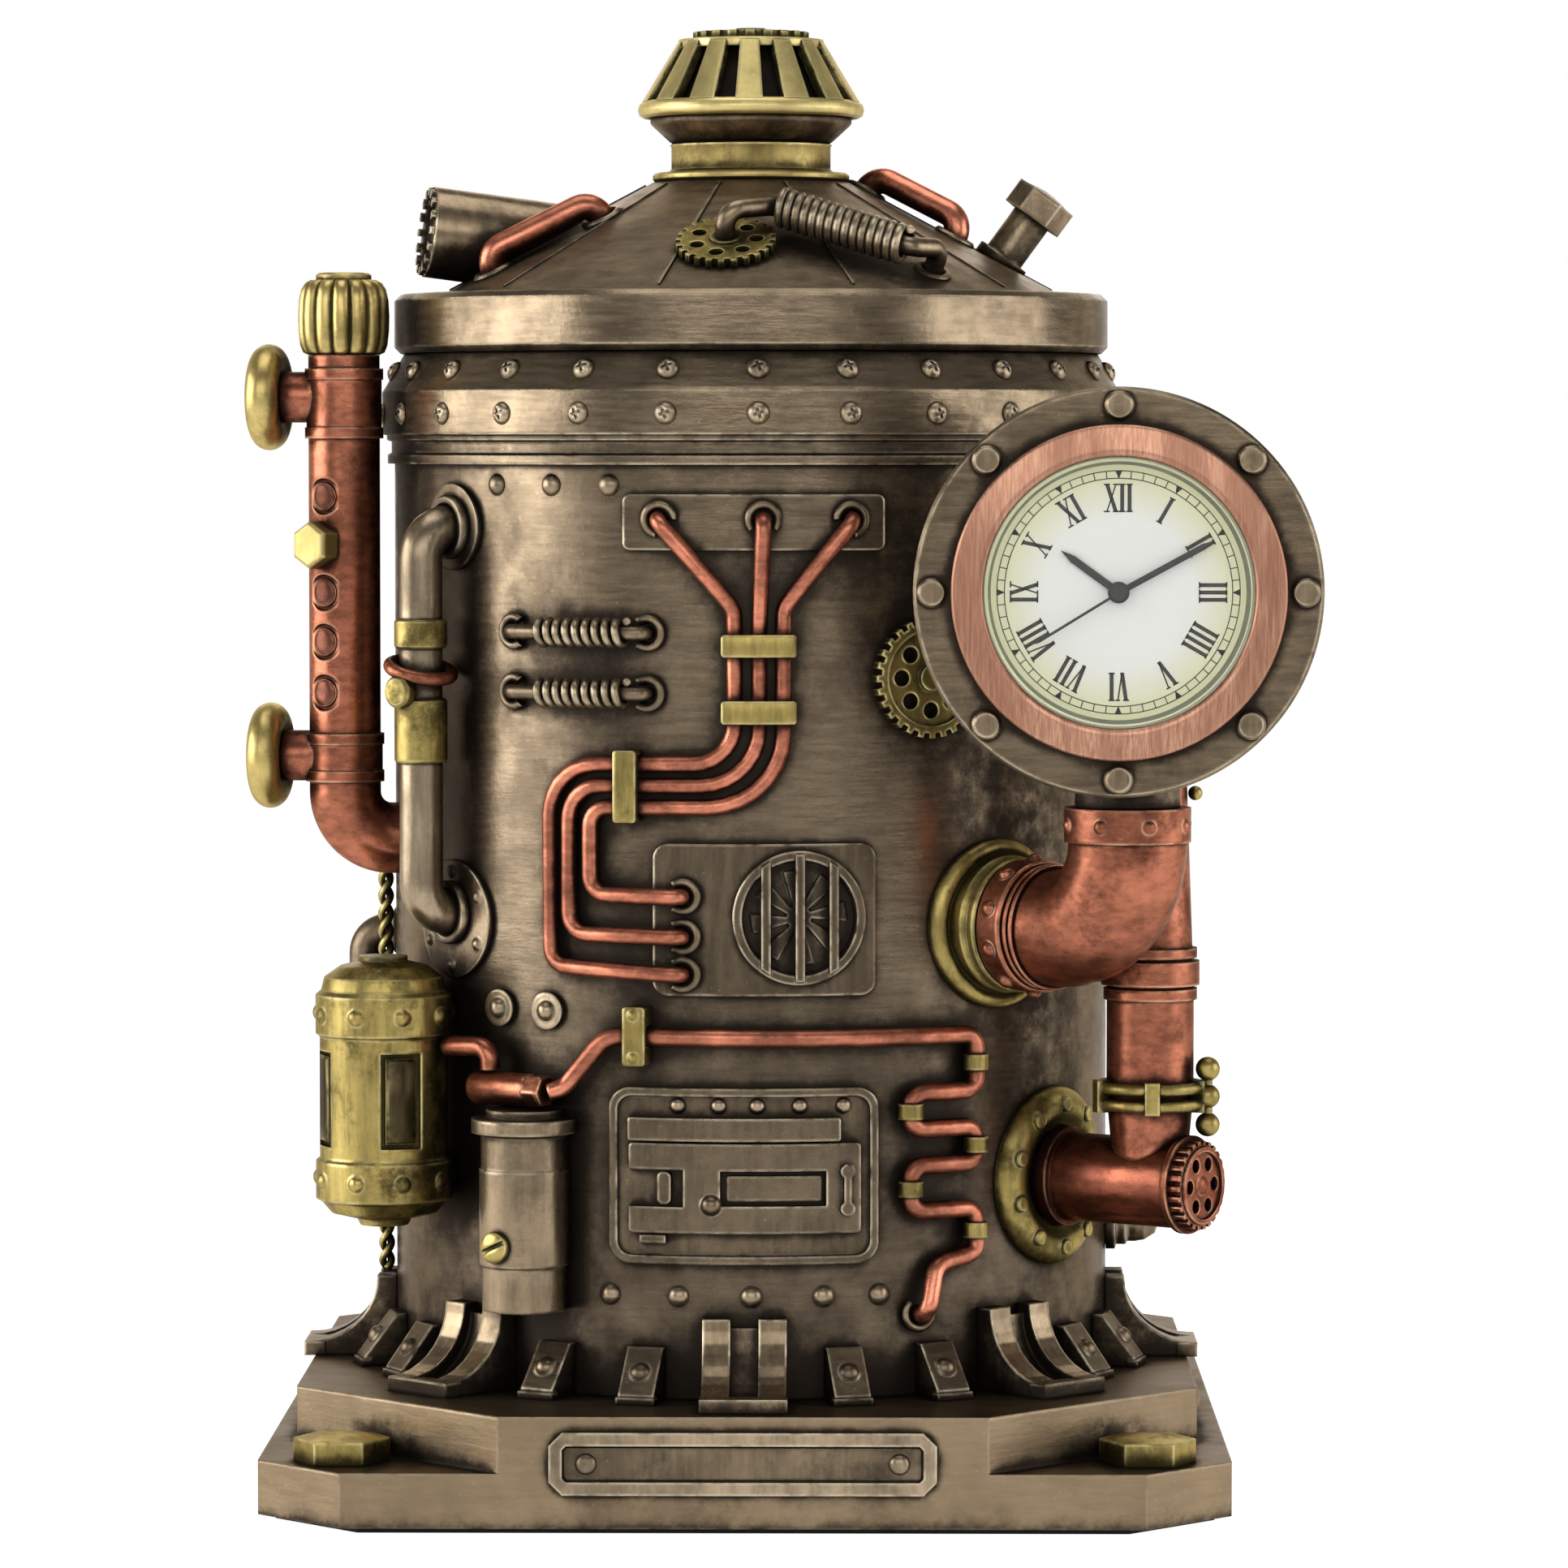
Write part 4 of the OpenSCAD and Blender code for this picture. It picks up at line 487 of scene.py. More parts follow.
def outward(turn):
    """The level direction at a turn from the front towards the right."""
    return Vector((math.sin(turn), -math.cos(turn), 0))


def sideways(turn):
    """The level direction to the right of outward."""
    return Vector((math.cos(turn), math.sin(turn), 0))


def towards(place, axis, turn=0.0):
    """A frame at a place, its z along an axis."""
    aim = Vector(axis).to_track_quat("Z", "Y").to_matrix().to_4x4()
    return Matrix.Translation(place) @ aim @ Matrix.Rotation(turn, 4, "Z")


def circle(steps):
    """Cosine and sine of even turns round a circle."""
    turns = [2 * math.pi * k / steps for k in range(steps)]
    return [(math.cos(t), math.sin(t)) for t in turns]


def skin(mesh, rings):
    """Faces between each ring of corners and the next, a ring drawn to a point among them."""
    for low, high in zip(rings, rings[1:]):
        for k in range(len(low)):
            after = (k + 1) % len(low)
            corners = list(dict.fromkeys([low[k], low[after], high[after], high[k]]))
            if len(corners) > 2:
                mesh.faces.new(corners)


def closed(mesh, rings):
    """The skin of a stack of rings, with a face over each end."""
    skin(mesh, rings)
    mesh.faces.new(rings[0][::-1])
    mesh.faces.new(rings[-1])


def lathe(mesh, profile, place=Matrix(), steps=48):
    """Turns a closed outline of radius and height round z."""
    rings = []
    for r, z in profile:
        if r == 0:
            rings.append([mesh.verts.new(place @ Vector((0, 0, z)))] * steps)
        else:
            rings.append([mesh.verts.new(place @ Vector((r * c, r * s, z))) for c, s in circle(steps)])
    skin(mesh, rings + rings[:1])


def prism(mesh, outline, low, high, place):
    """A flat outline between two heights."""
    closed(mesh, [[mesh.verts.new(place @ Vector((x, y, z))) for x, y in outline] for z in (low, high)])


def tube(mesh, path, radius, sides=14):
    """A round tube along a path, closed at both ends."""
    count = len(path)
    ways = [(path[min(i + 1, count - 1)] - path[max(i - 1, 0)]).normalized() for i in range(count)]
    side = ways[0].orthogonal().normalized()
    rings = []
    for point, way in zip(path, ways):
        side = (side - way * side.dot(way)).normalized()
        other = way.cross(side)
        spokes = [side * c + other * s for c, s in circle(sides)]
        rings.append([mesh.verts.new(point + spoke * radius) for spoke in spokes])
    closed(mesh, rings)


# Paths, in millimetres

NEARLY_STRAIGHT = math.radians(176)


def corner(a, p, b, radius, steps):
    """The arc that rounds the corner p on the way from a to b."""
    u = (a - p).normalized()
    v = (b - p).normalized()
    spread = u.angle(v)
    if spread > NEARLY_STRAIGHT or radius == 0:
        return [p]
    middle = p + (u + v).normalized() * radius / math.sin(spread / 2)
    out = (p + u * radius / math.tan(spread / 2) - middle).normalized()
    turns = [(math.pi - spread) * i / steps for i in range(steps + 1)]
    return [middle + radius * (math.cos(t) * out - math.sin(t) * u) for t in turns]


def fillet(path, radii, steps=7):
    """A path with its corners rounded."""
    points = [Vector(p) for p in path]
    done = [points[0]]
    for i in range(1, len(points) - 1):
        done += corner(points[i - 1], points[i], points[i + 1], radii[i], steps)
    return done + [points[-1]]


def refine(path, most):
    """The same path with no stretch longer than most."""
    done = []
    for a, b in zip(path, path[1:]):
        count = max(1, math.ceil((b - a).length / most))
        done += [a.lerp(b, k / count) for k in range(count)]
    return done + [path[-1]]


# The boiler wall: angle from the front towards the right, height, and distance from the surface

SHELL_R = 45.7
WALL_CLEAR = 0.25
SUNK = 0.05


def on_wall(angle, height, lift=0.0):
    return (SHELL_R + lift) * outward(math.radians(angle)) + UP * height


def wall_path(places, radii, most=3.0):
    """A rounded path that lies on the wall."""
    along = math.radians(1) * SHELL_R
    flat = fillet([(a * along, z, lift) for a, z, lift in places], radii)
    return [on_wall(p.x / along, p.y, p.z) for p in refine(flat, most)]


def wire(mesh, places, radii, radius, low, rise):
    """A wire that leaves one hole in the wall, follows its corners and dives into another."""
    run = radius + WALL_CLEAR
    first, last = places[0], places[-1]
    route = [(*first, low), (*first, rise)]
    route += [(a, z, run) for a, z in places[1:-1]]
    route += [(*last, rise), (*last, low)]
    tube(mesh, wall_path(route, [0, 1.5 * radius, *radii, 1.5 * radius, 0]), radius)


# Wire harness on the wall

WIRE_R = 1.0
PLATE_T = 0.95
WIRE_RISE = 3.5


def harness():
    """Three wires from the terminal plate to the vent plate: corners as angle and height, and bend radii."""
    mesh = bmesh.new()
    left = [(-12.8, 122.4), (-1.5, 111.4), (-1.4, 92.6), (-30.8, 92.4), (-30.6, 67.6), (-9.2, 66.9)]
    centre = [(2.8, 122.4), (2.2, 109), (2.2, 90), (-27.4, 89.8), (-27.4, 71.6), (-9.2, 71.5)]
    right = [(16, 122.4), (5.8, 111.6), (5.7, 87.4), (-23.9, 87.2), (-23.9, 76.5), (-9.2, 76.4)]
    wire(mesh, left, [3, 5, 6.5, 2.4], WIRE_R, PLATE_T, WIRE_RISE)
    wire(mesh, centre, [6, 7, 4.2, 2.6], WIRE_R, PLATE_T, WIRE_RISE)
    wire(mesh, right, [3, 9, 2.4, 2.4], WIRE_R, PLATE_T, WIRE_RISE)
    make("harness_copper", mesh, copper_bright, "boiler", "copper", "harness_wires")


# Steam line, and the tee it starts from

LINE_R = 1.12
LINE_RUN = 1.65
LINE_HIGH = 58.9
TURN_IN = 25.4
TURN_OUT = 36.8
LEVELS = (52, 47.5, 43, 37.4, 31.9)
TEE_A = -37.4
TEE_Z = 52.1
TEE_LIFT = 3.2
LINE_FROM = 7.05
STRAP_A = -21
TAIL_BEND = (29.6, 30.6)
TAIL_HOLE = (27.4, 24.6)
LINE_BEND = 1.7


def steam_line():
    """The line from the tee along the wall and down its bends into the tail hole."""
    start = TEE_A + math.degrees(math.atan2(LINE_FROM, SHELL_R + TEE_LIFT))
    lift = math.hypot(LINE_FROM, SHELL_R + TEE_LIFT) - SHELL_R
    route = [(start, TEE_Z, lift), (start + 2, TEE_Z + 0.6, LINE_RUN + 1.2)]
    route += [(STRAP_A, LINE_HIGH + 0.3, LINE_RUN), (TURN_OUT, LINE_HIGH, LINE_RUN)]
    ends = [TURN_OUT, TURN_IN]
    for i, level in enumerate(LEVELS):
        route.append((ends[i % 2], level, LINE_RUN))
        if i < len(LEVELS) - 1:
            route.append((ends[(i + 1) % 2], level, LINE_RUN))
    route += [(*TAIL_BEND, LINE_RUN), (*TAIL_HOLE, 3), (*TAIL_HOLE, SUNK)]
    bends = [0, 3, 4] + [LINE_BEND] * 2 * len(LEVELS) + [2.2, 1.5, 0]
    mesh = bmesh.new()
    tube(mesh, wall_path(route, bends), LINE_R)
    make("steam_line_copper", mesh, copper_bright, "boiler", "copper", "steam_line")


# Front springs: angles and heights on the wall

SPRING_LEVELS = (108.5, 101.1)
SPRING_ENDS = (-38.2, -14.9)
COIL_ENDS = (-31.6, -17.5)
COIL_R = 1.42
COIL_TURNS = 9
COIL_WIRE = 0.5
ROD_R = 0.9
ROD_LIFT = 2.14
ROD_BEND = 1.6
COIL_STEPS = 16


def wound(mesh, axis, out, up, turns, radius, thick):
    """A close coil; axis, out and up give its axis and two square directions at a share of its length."""
    count = turns * COIL_STEPS
    path = []
    for i in range(count + 1):
        t = i / count
        turn = 2 * math.pi * i / COIL_STEPS
        path.append(axis(t) + radius * (math.cos(turn) * up(t) + math.sin(turn) * out(t)))
    tube(mesh, path, thick, 8)


def front_springs():
    """Two rods with both ends in the wall, each with a coil round its middle."""
    rods = bmesh.new()
    coils = bmesh.new()
    first, last = COIL_ENDS
    left, right = SPRING_ENDS
    for z in SPRING_LEVELS:
        route = [(left, z, SUNK), (left, z, ROD_LIFT), (right, z, ROD_LIFT), (right, z, SUNK)]
        tube(rods, wall_path(route, [0, ROD_BEND, ROD_BEND, 0]), ROD_R)
        wound(coils, lambda t, z=z: on_wall(first + t * (last - first), z, ROD_LIFT),
              lambda t: on_wall(first + t * (last - first), 0).normalized(),
              lambda t: UP, COIL_TURNS, COIL_R, COIL_WIRE)
    make("spring_rods_bronze", rods, bronze_cast, "boiler", "bronze", "spring_rods")
    make("spring_coils_bronze", coils, bronze_stud, "boiler", "bronze", "front_springs")


# Feed hose from the tank, and the tee's body

TANK_A = -56.4
TANK_R = 8.5
TANK_LOW = 34.3
TANK_CENTRE = on_wall(TANK_A, TANK_LOW, TANK_R + 0.15)
HOSE_R = 1.25
HOSE_UP = 22.7
HOSE_LEAVE = math.radians(-25)
HOSE_BEND = 1.9
DROP_BACK = 2.4
TEE_R = 2.1
TEE_HALF = 4.4
TEE_BODY = [(0, -TEE_HALF - 0.9), (1.2, -TEE_HALF - 0.9), (1.8, -TEE_HALF - 0.5), (TEE_R, -TEE_HALF),
            (TEE_R, TEE_HALF - 0.3), (TEE_R - 0.3, TEE_HALF), (0, TEE_HALF)]
HEX_R = 2.2
HEX_END = TEE_HALF + 2.2
TEE_HEX = [(0, TEE_HALF - 0.1), (HEX_R, TEE_HALF - 0.1), (HEX_R, HEX_END - 0.3), (HEX_R - 0.3, HEX_END),
           (0, HEX_END)]


def feed_hose():
    """The short hose from the tank, and the tee that it drops into."""
    across = sideways(math.radians(TEE_A))
    high = TANK_CENTRE + UP * HOSE_UP
    drop = on_wall(TEE_A, 0, TEE_LIFT) - DROP_BACK * across
    over = Vector((drop.x, drop.y, high.z + 0.2))
    end = Vector((drop.x, drop.y, TEE_Z + TEE_R + 0.15))
    mesh = bmesh.new()
    start = high + (TANK_R + 0.35) * sideways(HOSE_LEAVE)
    tube(mesh, fillet([start, over, end], [0, HOSE_BEND, 0]), HOSE_R)
    tee = towards(on_wall(TEE_A, TEE_Z, TEE_LIFT), across)
    lathe(mesh, TEE_BODY, tee, 32)
    lathe(mesh, TEE_HEX, tee, 6)
    make("feed_hose_copper", mesh, copper_pipe, "boiler", "copper", "feed_hose")


# Twisted cable behind the tank

CABLE_A = -87
CABLE_LOW = 25.3
CABLE_HIGH = 79
CABLE_TURNS = 12
STRAND_R = 0.5
STRAND_AT = 0.55


def tank_cable():
    """Two strands laid round each other on the left flank."""
    mesh = bmesh.new()
    foot = on_wall(CABLE_A, 0, STRAND_R + STRAND_AT + WALL_CLEAR)
    count = CABLE_TURNS * COIL_STEPS
    for phase in (0, math.pi):
        path = []
        for i in range(count + 1):
            turn = 2 * math.pi * i / COIL_STEPS + phase + math.radians(CABLE_A)
            height = CABLE_LOW + (CABLE_HIGH - CABLE_LOW) * i / count
            path.append(foot + Vector((STRAND_AT * math.cos(turn), STRAND_AT * math.sin(turn), height)))
        tube(mesh, path, STRAND_R, 8)
    make("tank_cable_brass", mesh, brass_trim, "boiler", "brass", "tank_cable")


# Dark panes of the tank

PANE_SIZE = (3.8, 10.5)
PANE_EDGE = 0.35
PANE_AT = TANK_R - 0.85
PANE_UP = 16
PANE_TURN = math.radians(20)
PANE_COUNT = 4
PANE_T = 0.15


def frustum(mesh, size, inset, thick, place):
    """A low block with sloped sides; x and y are its face, z its thickness."""
    loops = []
    for cut, z in ((0, 0), (inset, thick)):
        x = size[0] / 2 - cut
        y = size[1] / 2 - cut
        corners = ((-x, -y, z), (x, -y, z), (x, y, z), (-x, y, z))
        loops.append([mesh.verts.new(place @ Vector(c)) for c in corners])
    closed(mesh, loops)


def tank_panes():
    """The dark panes in the tank's windows."""
    centre = TANK_CENTRE + UP * PANE_UP
    mesh = bmesh.new()
    for k in range(PANE_COUNT):
        turn = PANE_TURN + 2 * math.pi * k / PANE_COUNT
        out = outward(turn)
        aim = Matrix((sideways(turn), UP, out)).transposed().to_4x4()
        frustum(mesh, PANE_SIZE, PANE_EDGE, PANE_T, Matrix.Translation(centre + PANE_AT * out) @ aim)
    make("tank_panes_brass", mesh, brass_pane, "boiler", "brass")


# The name plate's dark inlay, left bare, and the heads of its bolts, made bright with a painted highlight

INLAY_SIZE = (43.3, 4.1)
INLAY_T = 0.12
INLAY_FRONT = 0.4
PLINTH_HALF = 59.5
PLATE_Z = 8.8
BOLT_AT = 18.9
BOLT_HEAD = [(0, 0.2), (1.3, 0.2), (1.3, 0.5), (1.05, 0.9), (0.55, 1.12), (0, 1.18)]


def name_inlay():
    mesh = bmesh.new()
    face = Matrix.Translation((0, -PLINTH_HALF - INLAY_FRONT, PLATE_Z))
    frustum(mesh, INLAY_SIZE, INLAY_T, INLAY_T, face @ Matrix.Rotation(math.pi / 2, 4, "X"))
    make("name_inlay_bronze", mesh, bronze_inlay, "boiler", "bronze")


def name_bolts():
    mesh = bmesh.new()
    for x in (-BOLT_AT, BOLT_AT):
        lathe(mesh, BOLT_HEAD, towards(Vector((x, -PLINTH_HALF, PLATE_Z)), (0, -1, 0)), 24)
    make("name_bolts_bronze", mesh, bronze_stud, "boiler", "bronze")


# The lid cone: angle, radius and distance along its normal

RIM_TOP = 150.5
CONE_H = 14.4
CONE_R = 39.7
CONE_TOP_R = 12.6
CONE_SLOPE = math.atan2(CONE_H, CONE_R - CONE_TOP_R)


def on_cone(angle, radius, lift=0.0):
    height = RIM_TOP + CONE_H * (CONE_R - radius) / (CONE_R - CONE_TOP_R)
    reach = radius + lift * math.sin(CONE_SLOPE)
    return reach * outward(math.radians(angle)) + UP * (height + lift * math.cos(CONE_SLOPE))


def cone_normal(angle):
    return (on_cone(angle, CONE_R, 1) - on_cone(angle, CONE_R)).normalized()


# Lid hoses, bent rod and its coil: feet as angle and radius on the cone

LID_HOSES = (((-68.7, 34.6), (-58.5, 21.8)), ((82, 26.2), (98, 14.8)))
LID_HOSE_R = 1.65
LID_HOSE_RISE = 2.6
LID_HOSE_BEND = 2.4
ROD_FOOT = (40.4, 35.4)
LID_GEAR = (-5, 29.4)
LID_ROD_R = 1.25
LID_COIL_FROM = Vector((3.5, -27.5, RIM_TOP + 10.6))
LID_COIL_TO = Vector((20.4, -31.8, RIM_TOP + 5.3))
LID_COIL_R = 2.05
LID_COIL_WIRE = 0.55
LID_COIL_TURNS = 15
LID_COIL_INSET = 0.8


def lid_hoses():
    """Two low hoses, each with both ends in the cone."""
    mesh = bmesh.new()
    for a, b in LID_HOSES:
        route = [on_cone(*a, SUNK), on_cone(*a, LID_HOSE_RISE), on_cone(*b, LID_HOSE_RISE), on_cone(*b, SUNK)]
        tube(mesh, fillet(route, [0, LID_HOSE_BEND, LID_HOSE_BEND, 0], 10), LID_HOSE_R, 16)
    make("lid_hoses_copper", mesh, copper_bright, "lid", "copper", "lid_hoses")


def lid_rod():
    """The bent rod from the lid's gear to the cone, and the coil round its straight middle."""
    mesh = bmesh.new()
    route = [on_cone(*LID_GEAR, 1.55), on_cone(*LID_GEAR, 5), LID_COIL_FROM, LID_COIL_TO]
    route += [on_cone(*ROD_FOOT, 3.4), on_cone(*ROD_FOOT, SUNK)]
    tube(mesh, refine(fillet(route, [0, 1.9, 3, 2.2, 1.6, 0]), 4), LID_ROD_R)
    make("lid_rod_bronze", mesh, bronze_cast, "lid", "bronze", "lid_rod")
    coil = bmesh.new()
    axis = (LID_COIL_TO - LID_COIL_FROM).normalized()
    side = axis.cross(UP).normalized()
    start = LID_COIL_FROM + LID_COIL_INSET * axis
    length = (LID_COIL_TO - LID_COIL_FROM).length - 2 * LID_COIL_INSET
    wound(coil, lambda t: start + axis * length * t, lambda t: side, lambda t: side.cross(axis),
          LID_COIL_TURNS, LID_COIL_R, LID_COIL_WIRE)
    make("lid_coil_bronze", coil, bronze_stud, "lid", "bronze", "lid_spring")


# Seams of the cone, and rings round the feet of hoses and rod

SEAMS = 10
SEAM_TURN = 20
SEAM_FROM = 38.6
SEAM_TO = 13.4
SEAM_HALF = 0.22
SEAM_RISE = 0.22
SEAM_DEEP = 0.3


def lid_seams():
    """Thin ridges down the cone, where its panels meet."""
    mesh = bmesh.new()
    for k in range(SEAMS):
        angle = 360 * k / SEAMS + SEAM_TURN
        start, end = on_cone(angle, SEAM_FROM), on_cone(angle, SEAM_TO)
        way = (end - start).normalized()
        place = towards(start, way)
        out = place.inverted().to_3x3() @ cone_normal(angle)
        side = UP.cross(out)
        foot, crest = side * SEAM_HALF, side * SEAM_HALF * 0.5
        corners = [foot - out * SEAM_DEEP, crest + out * SEAM_RISE,
                   -crest + out * SEAM_RISE, -foot - out * SEAM_DEEP]
        prism(mesh, [(c.x, c.y) for c in corners], 0, (end - start).length, place)
    make("lid_seams", mesh, bronze_body, "lid", "bronze")


def lid_grommets():
    """Raised rings where the hoses and the rod enter the cone."""
    mesh = bmesh.new()
    feet = [foot for pair in LID_HOSES for foot in pair]
    rings = [(foot, LID_HOSE_R) for foot in feet] + [(ROD_FOOT, LID_ROD_R)]
    for (angle, radius), inner in rings:
        place = towards(on_cone(angle, radius), cone_normal(angle))
        bead = [(inner + 0.15, -0.3), (inner + 1.15, -0.3), (inner + 1.15, 0.25), (inner + 0.85, 0.6),
                (inner + 0.45, 0.6), (inner + 0.15, 0.3)]
        lathe(mesh, bead, place, 32)
    make("lid_grommets", mesh, bronze_cast, "lid", "bronze")


# Dial print, in millimetres from the clock's axis: x right, y up

DIAL_FRONT = -1.3
INK_T = 0.05
NUMERALS = ("XII", "I", "II", "III", "IIII", "V", "VI", "VII", "VIII", "IX", "X", "XI")
NUMERAL_LOW = 9.6
NUMERAL_HIGH = 13.0
STROKE = 0.46
HAIR = 0.17
SERIF = 0.74
TRACK_IN = 13.65
TRACK_OUT = 14.55
TRACK_LINE = 0.11
HOUR_WEDGE = [(-0.42, TRACK_OUT), (0, TRACK_IN - 0.05), (0.42, TRACK_OUT)]
WIDTHS = {"I": 0.88, "V": 1.6, "X": 1.7}


def bar(x0, y0, x1, y1, width):
    """A stroke between two points, its ends level."""
    half = width / 2
    return [(x0 - half, y0), (x0 + half, y0), (x1 + half, y1), (x1 - half, y1)]


def serif(x, y, width=SERIF):
    thick = HAIR if y < (NUMERAL_LOW + NUMERAL_HIGH) / 2 else -HAIR
    return bar(x, min(y, y + thick), x, max(y, y + thick), width)


def letter(kind, x):
    low, high = NUMERAL_LOW, NUMERAL_HIGH
    if kind == "I":
        return [bar(x, low, x, high, STROKE), serif(x, low), serif(x, high)]
    spread = WIDTHS[kind] / 2 - 0.3
    if kind == "V":
        return [bar(x, low, x - spread, high, STROKE), bar(x, low, x + spread, high, HAIR),
                serif(x - spread, high, 0.75), serif(x + spread, high, 0.55)]
    strokes = [bar(x + spread, low, x - spread, high, STROKE), bar(x - spread, low, x + spread, high, HAIR)]
    return strokes + [serif(x + side * spread, y) for side in (-1, 1) for y in (low, high)]


def clock_frame():
    """Millimetre frame of the dial: x right, y up, z towards the viewer."""
    turn = Matrix.Rotation(math.radians(90), 4, "X")
    return Matrix.Translation(Vector((CLOCK_X, CLOCK_Y, CLOCK_Z)) / MM) @ turn


def dial_print():
    """Roman numerals, the minute track and a wedge at each hour."""
    mesh = bmesh.new()
    base = clock_frame()
    low, high = DIAL_FRONT - 0.02, DIAL_FRONT + INK_T
    for hour, numeral in enumerate(NUMERALS):
        place = base @ Matrix.Rotation(-math.radians(30 * hour), 4, "Z")
        x = -sum(WIDTHS[kind] for kind in numeral) / 2
        for kind in numeral:
            for outline in letter(kind, x + WIDTHS[kind] / 2):
                prism(mesh, outline, low, high, place)
            x += WIDTHS[kind]
        prism(mesh, HOUR_WEDGE, low, high, place)
    for minute in range(60):
        place = base @ Matrix.Rotation(-math.radians(6 * minute), 4, "Z")
        prism(mesh, bar(0, TRACK_IN, 0, TRACK_OUT, TRACK_LINE), low, high, place)
    for r in (TRACK_IN, TRACK_OUT):
        lathe(mesh, [(r - TRACK_LINE / 2, low), (r + TRACK_LINE / 2, low), (r + TRACK_LINE / 2, high),
                     (r - TRACK_LINE / 2, high)], base, 160)
    make("dial_print", mesh, MATERIALS["hand_black"], "clock_insert", "hand_black")


# Ring between dial and glass

REHAUT_IN = 15.3
REHAUT_OUT = 16.15
REHAUT_RING = [(REHAUT_IN, DIAL_FRONT + 0.02), (REHAUT_OUT, 0.9), (REHAUT_OUT, 0.2),
               (REHAUT_IN + 0.6, DIAL_FRONT + 0.02)]


def rehaut_finish():
    g = Graph("rehaut")
    share = g.span(from_clock_centre(g), REHAUT_IN * MM, REHAUT_OUT * MM)
    # Dark olive at its foot by the dial, greyer out to the glass: painted shade from the bezel.
    tint = g.mix(share, (0.20, 0.21, 0.15), (0.34, 0.37, 0.36))
    tint = g.mix(g.span(g.noise(900, 3), 0.4, 0.7, 0, 0.2), tint, (0.10, 0.10, 0.06))
    return g.finish(Base_Color=tint, Metallic=0.35, Roughness=0.28)


def rehaut():
    """The sloped ring between dial and glass."""
    mesh = bmesh.new()
    lathe(mesh, REHAUT_RING, clock_frame(), 160)
    make("rehaut_ring", mesh, rehaut_finish(), "clock_insert", "dial_paper")


# Finial: brass neck, bronze funnel, dark core

FINIAL_Z = 164.9
CAGE_Z = 8.2
CORE_R = 12.0
CORE_TOP = 17.0
NECK = [(0, 0.05), (12.3, 0.05), (12.6, 0.4), (12.6, 0.9), (12.3, 1.2), (10.6, 1.35), (10.2, 1.7),
        (10.2, 4.5), (10.4, 4.8), (10.0, 5.0), (0, 5.0)]
FUNNEL = [(0, 4.9), (9.9, 4.9), (10.4, 5.2), (12.7, 7.3), (12.9, 7.6), (12.9, CAGE_Z), (0, CAGE_Z)]
CORE = [(0, CAGE_Z - 0.1), (CORE_R, CAGE_Z - 0.1), (CORE_R, CAGE_Z + 2.2), (7.3, CORE_TOP), (0, CORE_TOP)]


def finial():
    place = Matrix.Translation((0, 0, FINIAL_Z))
    rows = [("finial_neck_brass", NECK, brass_fair, "brass"),
            ("finial_funnel_bronze", FUNNEL, bronze_cast, "bronze"),
            ("finial_core_dark", CORE, bronze_dark, "bronze")]
    for name, profile, finish, slot in rows:
        mesh = bmesh.new()
        lathe(mesh, profile, place, 96)
        make(name, mesh, finish, "lid", slot, "finial_neck")


# Side rail: brass sleeves and knob, the copper turn wrapped over them, and a bead at each end

RAIL_A = -52.5
RAIL_R = 2.7
RAIL_REACH = 5.3
RAIL_AXIS = on_wall(RAIL_A, 0, RAIL_REACH)
SLEEVES = ((106.2, 3.6), (92.0, 8.0))
SLEEVE_IN = RAIL_R + 0.05
SLEEVE_OUT = RAIL_R + 0.6
KNOB_TURN = math.radians(RAIL_A + 14)
KNOB_Z = 100.9
KNOB = [(0, RAIL_R), (1.7, RAIL_R), (1.9, RAIL_R + 0.4), (2.0, RAIL_R + 1.0), (2.0, RAIL_R + 1.7),
        (1.6, RAIL_R + 2.15), (0, RAIL_R + 2.25)]
WRAP_Z = 103.5
WRAP_TILT = math.radians(16)
WRAP_R = RAIL_R + 1.15
WRAP_WIRE = 0.85
WRAP_STEPS = 24
RAIL_FEET = (73.2, 121.2)
DISC_T = 0.85
RAIL_BEAD = [(RAIL_R + 0.1, 0), (RAIL_R + 1.3, 0), (RAIL_R + 1.3, 0.6), (RAIL_R + 1.0, 1.0),
             (RAIL_R + 0.4, 1.0), (RAIL_R + 0.1, 0.7)]


def rail_sleeves():
    mesh = bmesh.new()
    for low, tall in SLEEVES:
        sleeve = [(SLEEVE_IN, 0), (SLEEVE_OUT - 0.25, 0), (SLEEVE_OUT, 0.3), (SLEEVE_OUT, tall - 0.3),
                  (SLEEVE_OUT - 0.25, tall), (SLEEVE_IN, tall)]
        lathe(mesh, sleeve, Matrix.Translation(RAIL_AXIS + UP * low), 40)
    lathe(mesh, KNOB, towards(RAIL_AXIS + UP * KNOB_Z, outward(KNOB_TURN)), 32)
    make("rail_sleeves_brass", mesh, brass_trim, "boiler", "brass", "rail_sleeves")


def rail_wrap():
    mesh = bmesh.new()
    tilt = Matrix.Rotation(math.radians(RAIL_A), 4, "Z") @ Matrix.Rotation(WRAP_TILT, 4, "Y")
    ring = [(WRAP_R + WRAP_WIRE * c, WRAP_WIRE * s) for c, s in circle(WRAP_STEPS)]
    lathe(mesh, ring, Matrix.Translation(RAIL_AXIS + UP * WRAP_Z) @ tilt, 64)
    make("rail_wrap_copper", mesh, copper_pipe, "boiler", "copper", "rail_sleeves")


def rail_grommets():
    mesh = bmesh.new()
    for height in RAIL_FEET:
        lathe(mesh, RAIL_BEAD, towards(on_wall(RAIL_A, height, DISC_T), on_wall(RAIL_A, 0)), 40)
    make("rail_grommets", mesh, bronze_cast, "boiler", "bronze")


# Standpipe cap: a barrel of rounded lobes under a small disc, and the hexagon knob lower down

